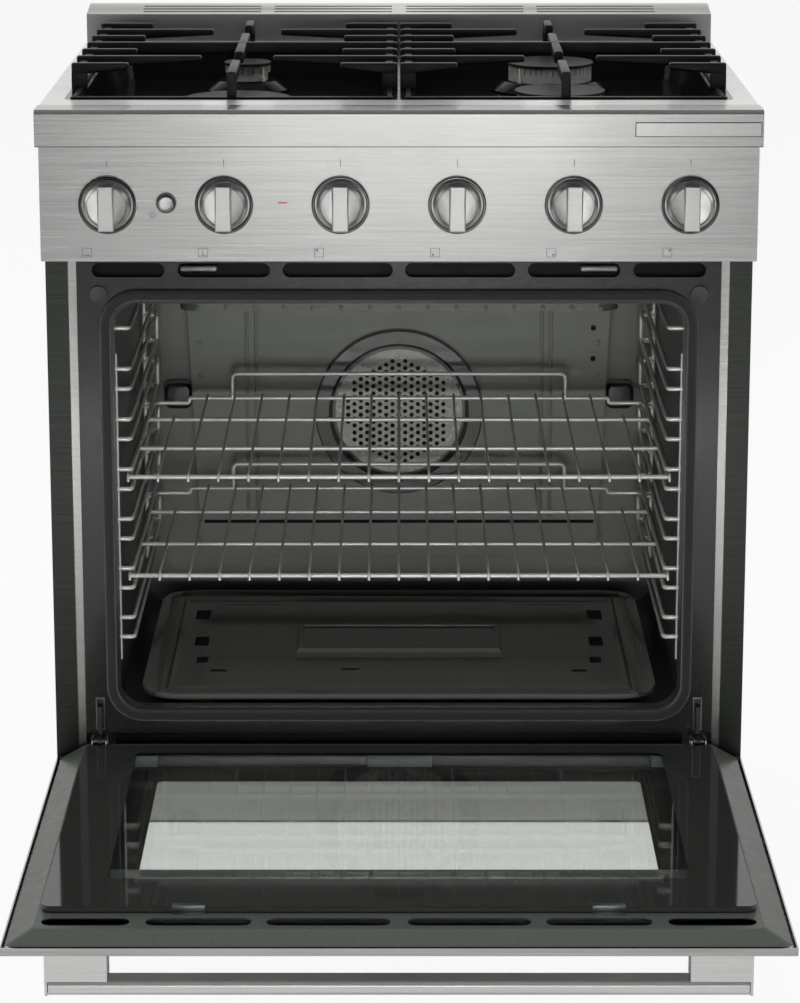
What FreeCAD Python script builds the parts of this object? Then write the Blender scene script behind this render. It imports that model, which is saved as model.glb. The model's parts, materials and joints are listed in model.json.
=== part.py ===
import FreeCAD, Part
import math
import os
import Sketcher
from types import SimpleNamespace

# Freestanding gas range, 760 mm wide, millimetres.
# x runs to the right, y to the back, z up. Depths are measured back from the face of the front trim.
# At the end every sub-part is moved by the same amount, so that the origin lies on the floor under the middle.

doc = FreeCAD.newDocument("gas_range")
sheet = doc.addObject("Spreadsheet::Sheet", "Sizes")


class Size:
    """A length with its value and the sheet formula that gives it."""

    def __init__(self, value, text):
        self.value = float(value)
        self.text = text

    def combine(self, other, sign, value):
        return Size(value, "(%s %s %s)" % (self.text, sign, textOf(other)))

    def __add__(self, other):
        return self.combine(other, "+", self.value + number(other))

    def __sub__(self, other):
        return self.combine(other, "-", self.value - number(other))

    def __mul__(self, other):
        return self.combine(other, "*", self.value * number(other))

    def __truediv__(self, other):
        return self.combine(other, "/", self.value / number(other))

    def __radd__(self, other):
        return self + other

    def __rmul__(self, other):
        return self * other

    def __rsub__(self, other):
        return Size(number(other) - self.value, "(%s - %s)" % (textOf(other), self.text))

    def __neg__(self):
        return Size(-self.value, "(-1 * %s)" % self.text)


def number(amount):
    return amount.value if isinstance(amount, Size) else float(amount)


def textOf(amount):
    return amount.text if isinstance(amount, Size) else repr(float(amount))


# Driving dimensions. Each one is a cell of the sheet.
driving = {
    # the cabinet
    "bodyHalf": 377, "trimHalf": 380, "sheetWall": 1.5, "frameFront": 50, "bodyBack": 643, "backMost": 645,
    "sideLow": 104, "flangeWide": 24, "stripWide": 8.5, "stripStep": 2.5, "baseLow": 100, "baseHigh": 28,
    "kickFront": 62, "kickTop": 178, "legRadius": 19, "footRadius": 25, "legInset": 27,
    # front trim, control panel and back guard
    "deckTop": 914, "trimLow": 875, "trimDeep": 40, "trimRound": 5, "panelFront": 9, "panelLow": 752.5,
    "panelTop": 874, "guardFront": 592, "guardLow": 946.7, "guardTop": 954, "louvreLong": 144, "louvreWide": 5,
    "louvrePitch": 13, "louvreInner": 80, "louvreOuter": 239,
    # knobs and button
    "knobHigh": 813, "knobPitch": 122.2, "knobRadius": 25.25, "knobBack": 4.5, "knobFace": -20, "gripBase": -8,
    "gripHalf": 8.5, "hubRadius": 9, "stemRadius": 4, "stemFit": 0.05, "stemFront": -4, "stemBack": 48,
    "flatOffset": 2.5, "bezelRadius": 30.5, "bezelInner": 27, "bezelFront": 3, "panelHole": 12,
    "buttonAcross": -244, "buttonHigh": 815, "buttonRadius": 8.2, "buttonHole": 9, "buttonRing": 10.5,
    "lensAcross": -122, "lensLong": 10, "lensHigh": 1.5,
    # oven
    "openHalf": 305, "openLow": 248, "openTop": 699, "openRound": 25, "frameHalf": 344, "frameLow": 217,
    "frameTop": 748, "linerHalf": 312, "linerLow": 222, "linerTop": 708, "linerFront": 60, "linerBack": 536,
    "linerRound": 28, "linerWall": 1.2, "gasketWide": 11, "gasketFront": 40.5, "wool": 24, "ventLow": 727.5, "ventHigh": 743,
    "bumperAcross": 321, "bumperHigh": 709, "bumperRadius": 9.5,
    "baffleBack": 501.5, "fanHigh": 475, "fanRing": 101, "fanLip": 85, "fanDisc": 74, "fanWheel": 66,
    "lampAcross": 269, "lampHigh": 490, "floorTop": 248, "floorHalf": 285,
    # racks and their guides
    "wire": 5, "thinWire": 3.2, "guideOuter": 306.5, "guideInner": 291, "guideFront": 70, "guideBack": 480,
    "levelTop": 623, "levelPitch": 55.9, "pairGap": 22.2, "rackHalf": 295, "rackFront": 80, "rackBack": 461,
    "rackPitch": 32.8, "galleryHalf": 200, "galleryRise": 30,
    # cooktop
    "deckHalf": 378, "panHalf": 356, "panFront": 77.5, "panBack": 588, "panRim": 17, "panFloor": 871,
    "burnerAcross": 178, "burnerFront": 226, "burnerRear": 472, "headBase": 883.5, "holeRadius": 24, "cupRadius": 20,
    "grateTop": 943, "grateOuter": 355, "grateInner": 2, "barWide": 10, "barDeep": 13, "rowFirst": 161,
    "rowPitch": 61.9, "fingerLong": 61, "tipGap": 39.5, "footWide": 17, "footRail": 2, "grateFront": 84, "grateBack": 565,
    # gas line
    "pipeRadius": 10, "pipeDeep": 74, "tubeRadius": 3.5, "inletAcross": 330, "inletHigh": 160, "inletRadius": 10.5,
    # door, open and level
    "doorFar": -499, "doorNear": 49, "skinLow": 182.3, "skinHigh": 190, "linerDoorTop": 205, "linerDoorHalf": 346.5,
    "linerDoorFar": -487, "windowHalf": 275, "windowFar": -318, "windowNear": -22, "glassThick": 4,
    "innerGlassHalf": 343, "innerGlassFar": -447, "innerGlassNear": 22, "innerGlassLow": 206.2, "innerGlassTop": 211.8,
    "pivotDeep": 37.5, "pivotHigh": 211.5, "pinRadius": 3.5, "pinFit": 0.05, "hingeAcross": 328,
    "handleLow": 131, "handleBarTop": 145, "handleFar": -474, "handleNear": -446, "barEnd": 335, "postInner": 278,
    "postOuter": 338, "handleRound": 5, "lipRound": 1,
}
for row, (name, value) in enumerate(driving.items(), start=1):
    sheet.set("A%d" % row, name)
    sheet.set("B%d" % row, str(value))
    sheet.setAlias("B%d" % row, name)
doc.recompute()
d = SimpleNamespace(**{name: Size(value, "Sizes." + name) for name, value in driving.items()})

parts = []


def finish(thing, label):
    """Name a sub-part after its node and keep it for the export."""
    thing.Label = label
    parts.append(thing)
    return thing


def bind(thing, prop, amount):
    if isinstance(amount, Size):
        thing.setExpression(prop, amount.text)
    return number(amount)


def place(thing, x, y, z, rotation=None):
    base = FreeCAD.Vector(bind(thing, "Placement.Base.x", x), bind(thing, "Placement.Base.y", y),
                          bind(thing, "Placement.Base.z", z))
    thing.Placement = FreeCAD.Placement(base, rotation or FreeCAD.Rotation())


def length(thing, prop, amount):
    setattr(thing, prop, bind(thing, prop, amount))


# ---- primitives ----

def box(x0, x1, y0, y1, z0, z1):
    solid = doc.addObject("Part::Box", "Box")
    for prop, low, high in (("Length", x0, x1), ("Width", y0, y1), ("Height", z0, z1)):
        length(solid, prop, high - low if isinstance(high, Size) else -(low - high))
    place(solid, x0, y0, z0)
    return solid


def turned(axis):
    turns = {"X": (FreeCAD.Vector(0, 1, 0), 90), "Y": (FreeCAD.Vector(1, 0, 0), -90), "Z": (FreeCAD.Vector(0, 0, 1), 0)}
    return FreeCAD.Rotation(*turns[axis])


def along(axis, start, first, second):
    """Point on an axis: start along it, then the two other coordinates in x, y, z order."""
    spots = {"X": (start, first, second), "Y": (first, start, second), "Z": (first, second, start)}
    return spots[axis]


def rod(axis, radius, start, end, first, second):
    solid = doc.addObject("Part::Cylinder", "Rod")
    length(solid, "Radius", radius)
    length(solid, "Height", end - start if isinstance(end, Size) else -(start - end))
    place(solid, *along(axis, start, first, second), turned(axis))
    return solid


def ball(radius, x, y, z):
    solid = doc.addObject("Part::Sphere", "Ball")
    length(solid, "Radius", radius)
    place(solid, x, y, z)
    return solid


def fuse(pieces):
    union = doc.addObject("Part::MultiFuse", "Fuse")
    union.Shapes = pieces
    return union


def cut(base, tools):
    result = doc.addObject("Part::Cut", "Cut")
    result.Base = base
    result.Tool = tools[0] if len(tools) == 1 else fuse(tools)
    return result


def group(pieces):
    bundle = doc.addObject("Part::Compound", "Group")
    bundle.Links = pieces
    return bundle


# ---- sketched bodies ----

def newBody():
    return doc.addObject("PartDesign::Body", "Body")


def addSketch(body, plane, level):
    """Sketch on a plane of the body's own origin, moved along that plane's axis to the given level."""
    sketch = body.newObject("Sketcher::SketchObject", "Sketch")
    face = [item for item in body.Origin.OriginFeatures if item.Role == plane + "_Plane"][0]
    sketch.AttachmentSupport = [(face, "")]
    sketch.MapMode = "FlatFace"
    offset = -level if plane == "XZ" else level
    rise = number(offset)
    sketch.AttachmentOffset = FreeCAD.Placement(FreeCAD.Vector(0, 0, rise), FreeCAD.Rotation())
    bind(sketch, "AttachmentOffset.Base.z", offset)
    return sketch


def tie(sketch, edge, point, x, y):
    """Fix one end of an edge to the sketch's axes by two formulas."""
    for kind, axis, amount in (("DistanceX", -2, x), ("DistanceY", -1, y)):
        if abs(number(amount)) < 1e-6:
            sketch.addConstraint(Sketcher.Constraint("PointOnObject", edge, point, axis))
            continue
        index = sketch.addConstraint(Sketcher.Constraint(kind, -1, 1, edge, point, number(amount)))
        bind(sketch, "Constraints[%d]" % index, amount)


def flat(x, y):
    return FreeCAD.Vector(number(x), number(y), 0)


def polygon(points):
    """Closed outline of straight edges."""
    def draw(sketch):
        first = sketch.GeometryCount
        count = len(points)
        for index in range(count):
            sketch.addGeometry(Part.LineSegment(flat(*points[index]), flat(*points[(index + 1) % count])))
        for index in range(count):
            sketch.addConstraint(Sketcher.Constraint("Coincident", first + index, 2, first + (index + 1) % count, 1))
            tie(sketch, first + index, 1, *points[index])
    return draw


def roundRect(x0, x1, y0, y1, radius):
    """Rectangle with four equal round corners."""
    def draw(sketch):
        first = sketch.GeometryCount
        corners = ((x1, y0, -1, 1, -90), (x1, y1, -1, -1, 0), (x0, y1, 1, -1, 90), (x0, y0, 1, 1, 180))
        r = number(radius)
        for x, y, sx, sy, start in corners:
            centre = FreeCAD.Vector(number(x) + sx * r, number(y) + sy * r, 0)
            circle = Part.Circle(centre, FreeCAD.Vector(0, 0, 1), r)
            sketch.addGeometry(Part.ArcOfCircle(circle, math.radians(start), math.radians(start + 90)))
        for index in range(4):
            x, y, sx, sy, start = corners[index]
            tie(sketch, first + index, 3, x + sx * radius, y + sy * radius)
            limit = sketch.addConstraint(Sketcher.Constraint("Radius", first + index, r))
            bind(sketch, "Constraints[%d]" % limit, radius)
        for index in range(4):
            arc = first + index
            following = first + (index + 1) % 4
            a = sketch.Geometry[arc].EndPoint
            b = sketch.Geometry[following].StartPoint
            line = sketch.addGeometry(Part.LineSegment(a, b))
            sketch.addConstraint(Sketcher.Constraint("Tangent", line, 1, arc, 2))
            sketch.addConstraint(Sketcher.Constraint("Tangent", line, 2, following, 1))
    return draw


def circle(x, y, radius):
    def draw(sketch):
        ring = sketch.addGeometry(Part.Circle(flat(x, y), FreeCAD.Vector(0, 0, 1), number(radius)))
        tie(sketch, ring, 3, x, y)
        limit = sketch.addConstraint(Sketcher.Constraint("Radius", ring, number(radius)))
        bind(sketch, "Constraints[%d]" % limit, radius)
    return draw


def pad(body, plane, outlines, start, end):
    """Add material between two levels of a plane's axis."""
    sketch = addSketch(body, plane, start)
    for draw in outlines:
        draw(sketch)
    feature = body.newObject("PartDesign::Pad", "Pad")
    feature.Profile = sketch
    feature.Reversed = plane == "XZ"
    length(feature, "Length", -(start - end) if isinstance(start, Size) else end - start)
    return feature


def pocket(body, plane, outlines, start, end):
    """Remove material between two levels of a plane's axis, and make sure that some went."""
    doc.recompute()
    before = body.Shape.Volume
    sketch = addSketch(body, plane, start)
    for draw in outlines:
        draw(sketch)
    feature = body.newObject("PartDesign::Pocket", "Pocket")
    feature.Profile = sketch
    feature.Reversed = plane != "XZ"
    length(feature, "Length", -(start - end) if isinstance(start, Size) else end - start)
    doc.recompute()
    if body.Shape.Volume > before - 1:
        raise RuntimeError("a pocket removed nothing from " + body.Name)
    return feature


def roundOff(body, feature, radius, wanted):
    """Fillet the edges of a feature that the wanted test picks."""
    doc.recompute()
    names = ["Edge%d" % (index + 1) for index, edge in enumerate(feature.Shape.Edges) if wanted(edge)]
    if not names:
        raise RuntimeError("no edge to round on " + body.Name)
    fillet = body.newObject("PartDesign::Fillet", "Fillet")
    fillet.Base = (feature, names)
    length(fillet, "Radius", radius)
    return fillet


def loft(body, kind, outline0, level0, outline1, level1):
    """Additive or Subtractive loft between two outlines on the XY plane."""
    low = addSketch(body, "XY", level0)
    outline0(low)
    high = addSketch(body, "XY", level1)
    outline1(high)
    feature = body.newObject("PartDesign::%sLoft" % kind, "Loft")
    feature.Profile = low
    feature.Sections = [high]
    return feature


def spun(body, points, axisX=0, axisY=0):
    """Turn an outline of (radius, height) points about an upright axis at axisX, axisY."""
    sketch = addSketch(body, "XZ", axisY)
    polygon([(axisX + radius, high) for radius, high in points])(sketch)
    line = sketch.addGeometry(Part.LineSegment(flat(axisX, 0), flat(axisX, 10)), True)
    tie(sketch, line, 1, axisX, 0)
    tie(sketch, line, 2, axisX, 10)
    feature = body.newObject("PartDesign::Revolution", "Revolution")
    feature.Profile = sketch
    feature.ReferenceAxis = (sketch, ["Axis0"])
    feature.Angle = 360
    return feature


# ---- cabinet ----

def baseFrame():
    body = newBody()
    outer = d.bodyHalf - 7
    front = d.kickFront + 4
    back = d.bodyBack - 5
    wall = 40
    pad(body, "XY", [roundRect(-outer, outer, front, back, 4)], d.baseLow, d.baseLow + d.baseHigh)
    pocket(body, "XY", [roundRect(-(outer - wall), outer - wall, front + wall, back - wall, 4)],
           d.baseLow, d.baseLow + d.baseHigh - 2)
    studs = [circle(across, deep, 4.2) for across, deep in legSpots()]
    pocket(body, "XY", studs, d.baseLow, d.baseLow + d.baseHigh - 2)
    rim = 2
    block = 60
    for near, far in ((front + rim, front + wall - rim), (back - wall + rim, back - rim)):
        pocket(body, "XY", [roundRect(block - outer, outer - block, near, far, 3)], d.baseLow, d.baseLow + d.baseHigh - 2)
    for low, high in ((rim - outer, wall - rim - outer), (outer - wall + rim, outer - rim)):
        pocket(body, "XY", [roundRect(low, high, front + block, back - block, 3)], d.baseLow, d.baseLow + d.baseHigh - 2)
    return body


def legSpots():
    across = d.bodyHalf - d.legInset
    return [(side * across, deep) for side in (-1, 1) for deep in (d.kickFront + 24, d.bodyBack - 25)]


def sidePanel(side):
    """Sheet side with a folded front flange and a set-back strip beside the oven frame."""
    body = newBody()
    flange = d.bodyHalf - d.flangeWide
    inner = flange - d.stripWide
    front = d.frameFront
    step = front + d.stripStep
    outline = [(d.bodyHalf, front), (d.bodyHalf, d.bodyBack), (d.bodyHalf - d.sheetWall, d.bodyBack),
               (d.bodyHalf - d.sheetWall, front + d.sheetWall), (flange + d.sheetWall, front + d.sheetWall),
               (flange + d.sheetWall, step + d.sheetWall), (inner, step + d.sheetWall), (inner, step),
               (flange, step), (flange, front)]
    pad(body, "XY", [polygon([(x * side, y) for x, y in outline])], d.sideLow, d.deckTop - 2)
    return body


def rearPanel():
    body = newBody()
    half = d.bodyHalf - d.sheetWall - 1
    pad(body, "XZ", [roundRect(-half, half, d.sideLow, d.deckTop - 4, 3)], d.bodyBack - d.sheetWall, d.bodyBack)
    holes = [circle(d.inletAcross, d.inletHigh, 24), circle(-300, 180, 13)]
    holes += [roundRect(-150, 150, 560 + 24 * row, 566 + 24 * row, 2.9) for row in range(4)]
    pocket(body, "XZ", holes, d.bodyBack - 5, d.bodyBack + 5)
    return body


def kickPlate():
    body = newBody()
    half = d.bodyHalf - 4
    front = d.kickFront
    wall = d.sheetWall
    outline = [(front, d.sideLow), (front, d.kickTop), (front + 16, d.kickTop), (front + 16, d.kickTop - wall),
               (front + wall, d.kickTop - wall), (front + wall, d.sideLow)]
    pad(body, "YZ", [polygon(outline)], -half, half)
    return body


def levellingLegs():
    """Four legs, each a foot disc, a tube and a threaded stud that goes up into the base."""
    legs = []
    for across, deep in legSpots():
        body = newBody()
        outline = [(0, 0), (d.footRadius - 2, 0), (d.footRadius, 2), (d.footRadius, 6), (d.legRadius, 9),
                   (d.legRadius, d.baseLow), (4, d.baseLow), (4, d.baseLow + 22), (0, d.baseLow + 22)]
        spun(body, outline, across, deep)
        legs.append(body)
    return group(legs)


def frontTrim():
    body = newBody()
    block = pad(body, "XZ", [polygon([(-d.trimHalf, d.trimLow), (d.trimHalf, d.trimLow), (d.trimHalf, d.deckTop),
                                      (-d.trimHalf, d.deckTop)])], 0, d.trimDeep)
    roundOff(body, block, d.trimRound,
             lambda edge: edge.BoundBox.YMax < 0.1 and edge.BoundBox.ZMin > number(d.deckTop) - 0.1)
    inner = d.trimHalf - d.sheetWall
    pocket(body, "XZ", [polygon([(-inner, d.trimLow + d.sheetWall), (inner, d.trimLow + d.sheetWall),
                                 (inner, d.deckTop - d.trimRound), (-inner, d.deckTop - d.trimRound)])],
           d.sheetWall, d.trimDeep + 1)
    return body


def trimPlate():
    body = newBody()
    pad(body, "XZ", [roundRect(247, 377.5, 886.6, 900.7, 0.8)], -1, 0)
    return body


def knobPlaces():
    return [d.knobPitch * (place - 2.5) for place in range(6)]


def controlPanel():
    body = newBody()
    front = d.panelFront
    back = d.frameFront
    half = d.bodyHalf
    wall = d.sheetWall
    pad(body, "XZ", [roundRect(-half, half, d.panelLow, d.panelTop, 1.5)], front, back)
    pocket(body, "XZ", [polygon([(wall - half, d.panelLow + wall), (half - wall, d.panelLow + wall),
                                 (half - wall, d.panelTop - wall), (wall - half, d.panelTop - wall)])],
           front + wall, back + 1)
    holes = [circle(across, d.knobHigh, d.panelHole) for across in knobPlaces()]
    holes.append(circle(d.buttonAcross, d.buttonHigh, d.buttonHole))
    holes.append(roundRect(d.lensAcross - d.lensLong / 2, d.lensAcross + d.lensLong / 2,
                           d.buttonHigh - d.lensHigh / 2, d.buttonHigh + d.lensHigh / 2, 0.5))
    pocket(body, "XZ", holes, front - 2, front + wall + 2)
    return body


def backGuard():
    """Hollow rear guard, open below, with louvres through its sloping top."""
    body = newBody()
    front = d.guardFront
    back = d.backMost
    wall = d.sheetWall
    pad(body, "YZ", [polygon([(front, d.deckTop), (back, d.deckTop), (back, d.guardTop), (front, d.guardLow)])],
        -d.deckHalf, d.deckHalf)
    pocket(body, "YZ", [polygon([(front + wall, d.deckTop - 1), (back - wall, d.deckTop - 1),
                                 (back - wall, d.guardTop - wall), (front + wall, d.guardLow - wall)])],
           wall - d.deckHalf, d.deckHalf - wall)
    for middle in (-d.louvreOuter, -d.louvreInner, d.louvreInner, d.louvreOuter):
        slots = []
        for row in range(3):
            low = front + 10 + d.louvrePitch * row
            slots.append(roundRect(middle - d.louvreLong / 2, middle + d.louvreLong / 2, low, low + d.louvreWide, 2.4))
        pocket(body, "XY", slots, d.guardLow - 12, d.guardTop + 4)
    return body


# ---- oven ----

def frontFrame():
    """Enamelled frame round the oven mouth, with cooling slots, hinge slots and two door bumpers."""
    body = newBody()
    front = d.frameFront
    wall = d.sheetWall
    half = d.frameHalf
    pad(body, "XZ", [roundRect(-half, half, d.frameLow, d.frameTop, 2)], front, front + wall)
    pad(body, "XZ", [roundRect(-(d.openHalf + wall), d.openHalf + wall, d.openLow - wall, d.openTop + wall,
                               d.openRound + wall)], front, d.linerFront)
    bumpers = [circle(side * d.bumperAcross, d.bumperHigh, d.bumperRadius) for side in (-1, 1)]
    pad(body, "XZ", bumpers, front - 2, front + wall)
    pocket(body, "XZ", [roundRect(-d.openHalf, d.openHalf, d.openLow, d.openTop, d.openRound)],
           front - 4, d.linerFront + 1)
    for side in (-1, 1):
        slots = []
        for inner, outer in ((6.5, 124), (137.5, 236), (250, 327.5)):
            low, high = sorted((side * inner, side * outer))
            slots.append(roundRect(low, high, d.ventLow, d.ventHigh, 7.7))
        across = d.hingeAcross * side
        slots.append(roundRect(across - 3.2, across + 3.2, 222, 256, 3))
        pocket(body, "XZ", slots, front - 1, front + wall + 1)
    return body


def ovenLiner():
    body = newBody()
    half = d.linerHalf
    wall = d.linerWall
    pad(body, "XZ", [roundRect(-(half + wall), half + wall, d.linerLow - wall, d.linerTop + wall, d.linerRound)],
        d.linerFront, d.linerBack + wall)
    pocket(body, "XZ", [roundRect(-half, half, d.linerLow, d.linerTop, d.linerRound - wall)],
           d.linerFront - 1, d.linerBack)
    pocket(body, "XZ", [circle(0, d.fanHigh, 9)], d.linerBack - 2, d.linerBack + 4)
    return body


def ovenInsulation():
    """Mineral wool jacket round the liner, cut away at the hinge receivers and the fan shaft."""
    body = newBody()
    inner = d.linerHalf + 4
    outer = inner + d.wool
    front = d.linerFront + 2
    back = d.linerBack + 3 + d.wool
    pad(body, "XZ", [roundRect(-outer, outer, d.linerLow - 4 - d.wool, d.linerTop + 4 + d.wool, 30)], front, back)
    pocket(body, "XZ", [roundRect(-inner, inner, d.linerLow - 4, d.linerTop + 4, d.linerRound)],
           front - 1, back - d.wool)
    pocket(body, "XZ", [circle(0, d.fanHigh, 24)], back - d.wool - 2, back + 2)
    corners = []
    for side in (-1, 1):
        low, high = sorted((side * 300, side * 350))
        corners.append(roundRect(low, high, 180, 272, 2))
    pocket(body, "XZ", corners, front - 1, front + 72)
    return body


def ovenGasket():
    body = newBody()
    inner = d.openHalf + 4
    outer = inner + d.gasketWide
    ring = [roundRect(-outer, outer, d.openLow - 4 - d.gasketWide, d.openTop + 4 + d.gasketWide, d.openRound + 15),
            roundRect(-inner, inner, d.openLow - 4, d.openTop + 4, d.openRound + 4)]
    block = pad(body, "XZ", ring, d.gasketFront, d.frameFront)
    roundOff(body, block, 3.5, lambda edge: edge.BoundBox.YMax < number(d.gasketFront) + 0.1)
    return body


def levelHeights():
    tops = [d.levelTop - d.levelPitch * level for level in range(6)]
    return [high for top in tops for high in (top, top - d.pairGap)]


def rackGuides():
    """Two wire ladders: posts at the front and back, and six pairs of runners between them."""
    ladders = []
    for side in (-1, 1):
        outer = side * d.guideOuter
        inner = side * d.guideInner
        wires = [rod("Z", d.wire / 2, 296, 640, outer, deep) for deep in (d.guideFront, d.guideBack)]
        for high in levelHeights():
            wires.append(rod("Y", d.wire / 2, d.guideFront, d.guideBack, inner, high))
            for deep in (d.guideFront, d.guideBack):
                near, far = (inner, outer) if side > 0 else (outer, inner)
                wires.append(rod("X", d.wire / 2, near, far, deep, high))
                wires.append(ball(d.wire / 2, inner, deep, high))
        ladders.append(fuse(wires))
    return group(ladders)


def ovenFloor():
    """Pressed floor panel with a raised bridge in the middle, a rolled rim and slots for the flames' heat."""
    body = newBody()
    half = d.floorHalf
    top = d.floorTop
    pad(body, "XY", [roundRect(-half, half, 78, 488, 45)], top - 2, top)
    pad(body, "XY", [roundRect(-half, half, 78, 488, 45), roundRect(-(half - 12), half - 12, 90, 476, 34)], top, top + 5)
    pad(body, "XY", [roundRect(-155, 155, 190, 400, 22)], top, top + 6)
    pad(body, "XY", [roundRect(-118, 118, 262, 305, 8)], top + 6, top + 12)
    slots = []
    for side in (-1, 1):
        for low, high, near, far in ((178, 214, 392, 428), (186, 212, 190, 226), (186, 212, 120, 156)):
            a, b = sorted((side * low, side * high))
            slots.append(roundRect(a, b, near, far, 4))
        a, b = sorted((side * 95, side * 160))
        slots.append(roundRect(a, b, 440, 445, 2))
    pocket(body, "XY", slots, top - 3, top + 2)
    return body


def bakeBurner():
    """U-shaped tube burner under the floor panel."""
    high = d.linerLow + 10
    pieces = [rod("Y", 7, 120, 470, side * 170, high) for side in (-1, 1)]
    pieces.append(rod("X", 7, -170, 170, 120, high))
    pieces += [ball(7, side * 170, 120, high) for side in (-1, 1)]
    pieces.append(box(-184, -156, 440, 452, d.linerLow, high))
    pieces.append(box(156, 184, 440, 452, d.linerLow, high))
    pieces.append(box(-10, 10, 115, 125, d.linerLow, high))
    return fuse(pieces)


def broilBurner():
    """Flat burner under the oven roof, hung from two straps."""
    body = newBody()
    low = d.linerTop - 44
    pad(body, "XY", [roundRect(-244, 244, 180, 400, 22)], low, low + 24)
    pad(body, "XY", [roundRect(-160, -130, 200, 380, 3), roundRect(130, 160, 200, 380, 3)], low + 24, d.linerTop)
    pocket(body, "XY", [roundRect(-241, 241, 183, 397, 19)], low - 1, low + 21)
    pad(body, "XY", [roundRect(-200, 200, 215, 235, 9.8), roundRect(-200, 200, 345, 365, 9.8)], low + 6, low + 22)
    return body


def fanBaffle():
    """Rear cover plate, narrower below, with a raised ring and a perforated disc in front of the fan."""
    body = newBody()
    back = d.baffleBack
    wall = d.sheetWall
    outline = [(-242, 292), (242, 292), (260, 690), (-260, 690)]
    pad(body, "XZ", [polygon(outline)], back - wall, back)
    pad(body, "XZ", [circle(0, d.fanHigh, d.fanRing), circle(0, d.fanHigh, d.fanLip)], back - wall - 8, back - wall)
    pocket(body, "XZ", [circle(0, d.fanHigh, d.fanDisc + 6)], back - wall - 9, back - wall + 0.7)
    pitch = 19
    holes = []
    for column in range(-3, 4):
        for step in range(-3, 4):
            across = column * pitch * math.sin(math.radians(60))
            rise = (step + 0.5 * (column % 2)) * pitch
            if math.hypot(across, rise) < 64:
                holes.append(circle(across, d.fanHigh + rise, 5.5))
    pocket(body, "XZ", holes, back - wall - 2, back + 1)
    pad(body, "XZ", [roundRect(-250, -236, 300, 312, 2), roundRect(236, 250, 300, 312, 2),
                     roundRect(-250, -236, 660, 672, 2), roundRect(236, 250, 660, 672, 2)], back, d.linerBack)
    return body


def fanWheel():
    """Radial wheel with eight blades on its motor shaft."""
    high = d.fanHigh
    back = d.linerBack - 8
    pieces = [rod("Y", d.fanWheel, back - 1.5, back, 0, high), rod("Y", 12, back - 18, back, 0, high),
              rod("Y", d.stemRadius, back - 20, back + 56, 0, high)]
    for blade in range(8):
        solid = box(22, d.fanWheel - 1, -0.75, 0.75, 0, 22)
        angle = blade * 45
        spin = FreeCAD.Rotation(FreeCAD.Vector(0, 1, 0), angle).multiply(turned("Y"))
        near = spin.multVec(FreeCAD.Vector(22, -0.75, 0))
        solid.Placement = FreeCAD.Placement(FreeCAD.Vector(near.x, number(back) - 23, number(high) + near.z), spin)
        solid.setExpression("Placement.Base.y", (back - 23).text)
        solid.setExpression("Placement.Base.z", (high + near.z).text)
        pieces.append(solid)
    return fuse(pieces)


def fanMotor():
    high = d.fanHigh
    plate = d.linerBack + 3 + d.wool + 0.5
    can = fuse([box(-55, 55, plate, plate + 2, high - 34, high + 34), rod("Y", 36, plate + 2, plate + 42, 0, high),
                rod("Y", 10, plate + 42, plate + 50, 0, high)])
    return cut(can, [rod("Y", d.stemRadius + d.stemFit, plate - 1, plate + 30, 0, high)])


def ovenLamps():
    """Two halogen lamps, each a bezel with a domed glass, on the rear wall of the oven."""
    lamps = []
    for side in (-1, 1):
        body = newBody()
        across = side * d.lampAcross
        block = pad(body, "XZ", [roundRect(across - 17, across + 17, d.lampHigh - 16, d.lampHigh + 16, 9)],
                    d.linerBack - 24, d.linerBack)
        roundOff(body, block, 5, lambda edge: edge.BoundBox.YMax < number(d.linerBack) - 23.9)
        lamps.append(body)
    return group(lamps)


# ---- cooktop ----

def cooktopDeck():
    body = newBody()
    pad(body, "XY", [polygon([(-d.deckHalf, d.trimDeep), (d.deckHalf, d.trimDeep), (d.deckHalf, d.guardFront),
                              (-d.deckHalf, d.guardFront)]),
                     roundRect(-d.panHalf, d.panHalf, d.panFront, d.panBack, 8)], d.deckTop - 2, d.deckTop)
    return body


def burnerPan():
    """Recessed enamel pan: a flat rim for the grate feet, sloping walls and four burner holes."""
    body = newBody()
    wall = d.sheetWall
    rim = d.panRim
    half = d.panHalf - 0.3
    front = d.panFront + 0.3
    back = d.panBack - 0.3
    slope = 9

    def outline(inset, radius):
        return roundRect(inset - half, half - inset, front + inset, back - inset, radius)

    pad(body, "XY", [outline(0, 8)], d.deckTop - wall, d.deckTop)
    loft(body, "Additive", outline(rim + slope - wall, 30), d.panFloor - wall, outline(rim - wall, 38), d.deckTop - 0.5)
    loft(body, "Subtractive", outline(rim + slope, 28), d.panFloor, outline(rim, 36), d.deckTop + 0.2)
    pad(body, "XY", [roundRect(-rim, rim, front + 2, back - 2, 2)], d.panFloor - wall, d.deckTop)
    pocket(body, "XY", [roundRect(wall - rim, rim - wall, front + rim, back - rim, 2)],
           d.panFloor - wall - 1, d.deckTop - wall)
    holes = [circle(across, deep, d.holeRadius) for across, deep, *rest in burnerPlaces()]
    pocket(body, "XY", holes, d.panFloor - 4, d.panFloor + 1)
    return body


def burnerPlaces():
    """Centre, head radius, cap radius, cone radii (low, high) and cap height of each burner."""
    left = -d.burnerAcross
    right = d.burnerAcross
    return [(left, d.burnerFront, 52, 60, 70, 57, 896), (right, d.burnerFront, 47, 50, 70, 56.5, 905),
            (left, d.burnerRear, 23.5, 27.5, 50, 34, 905), (right, d.burnerRear, 48.8, 51, 70, 56.5, 905)]


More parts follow.
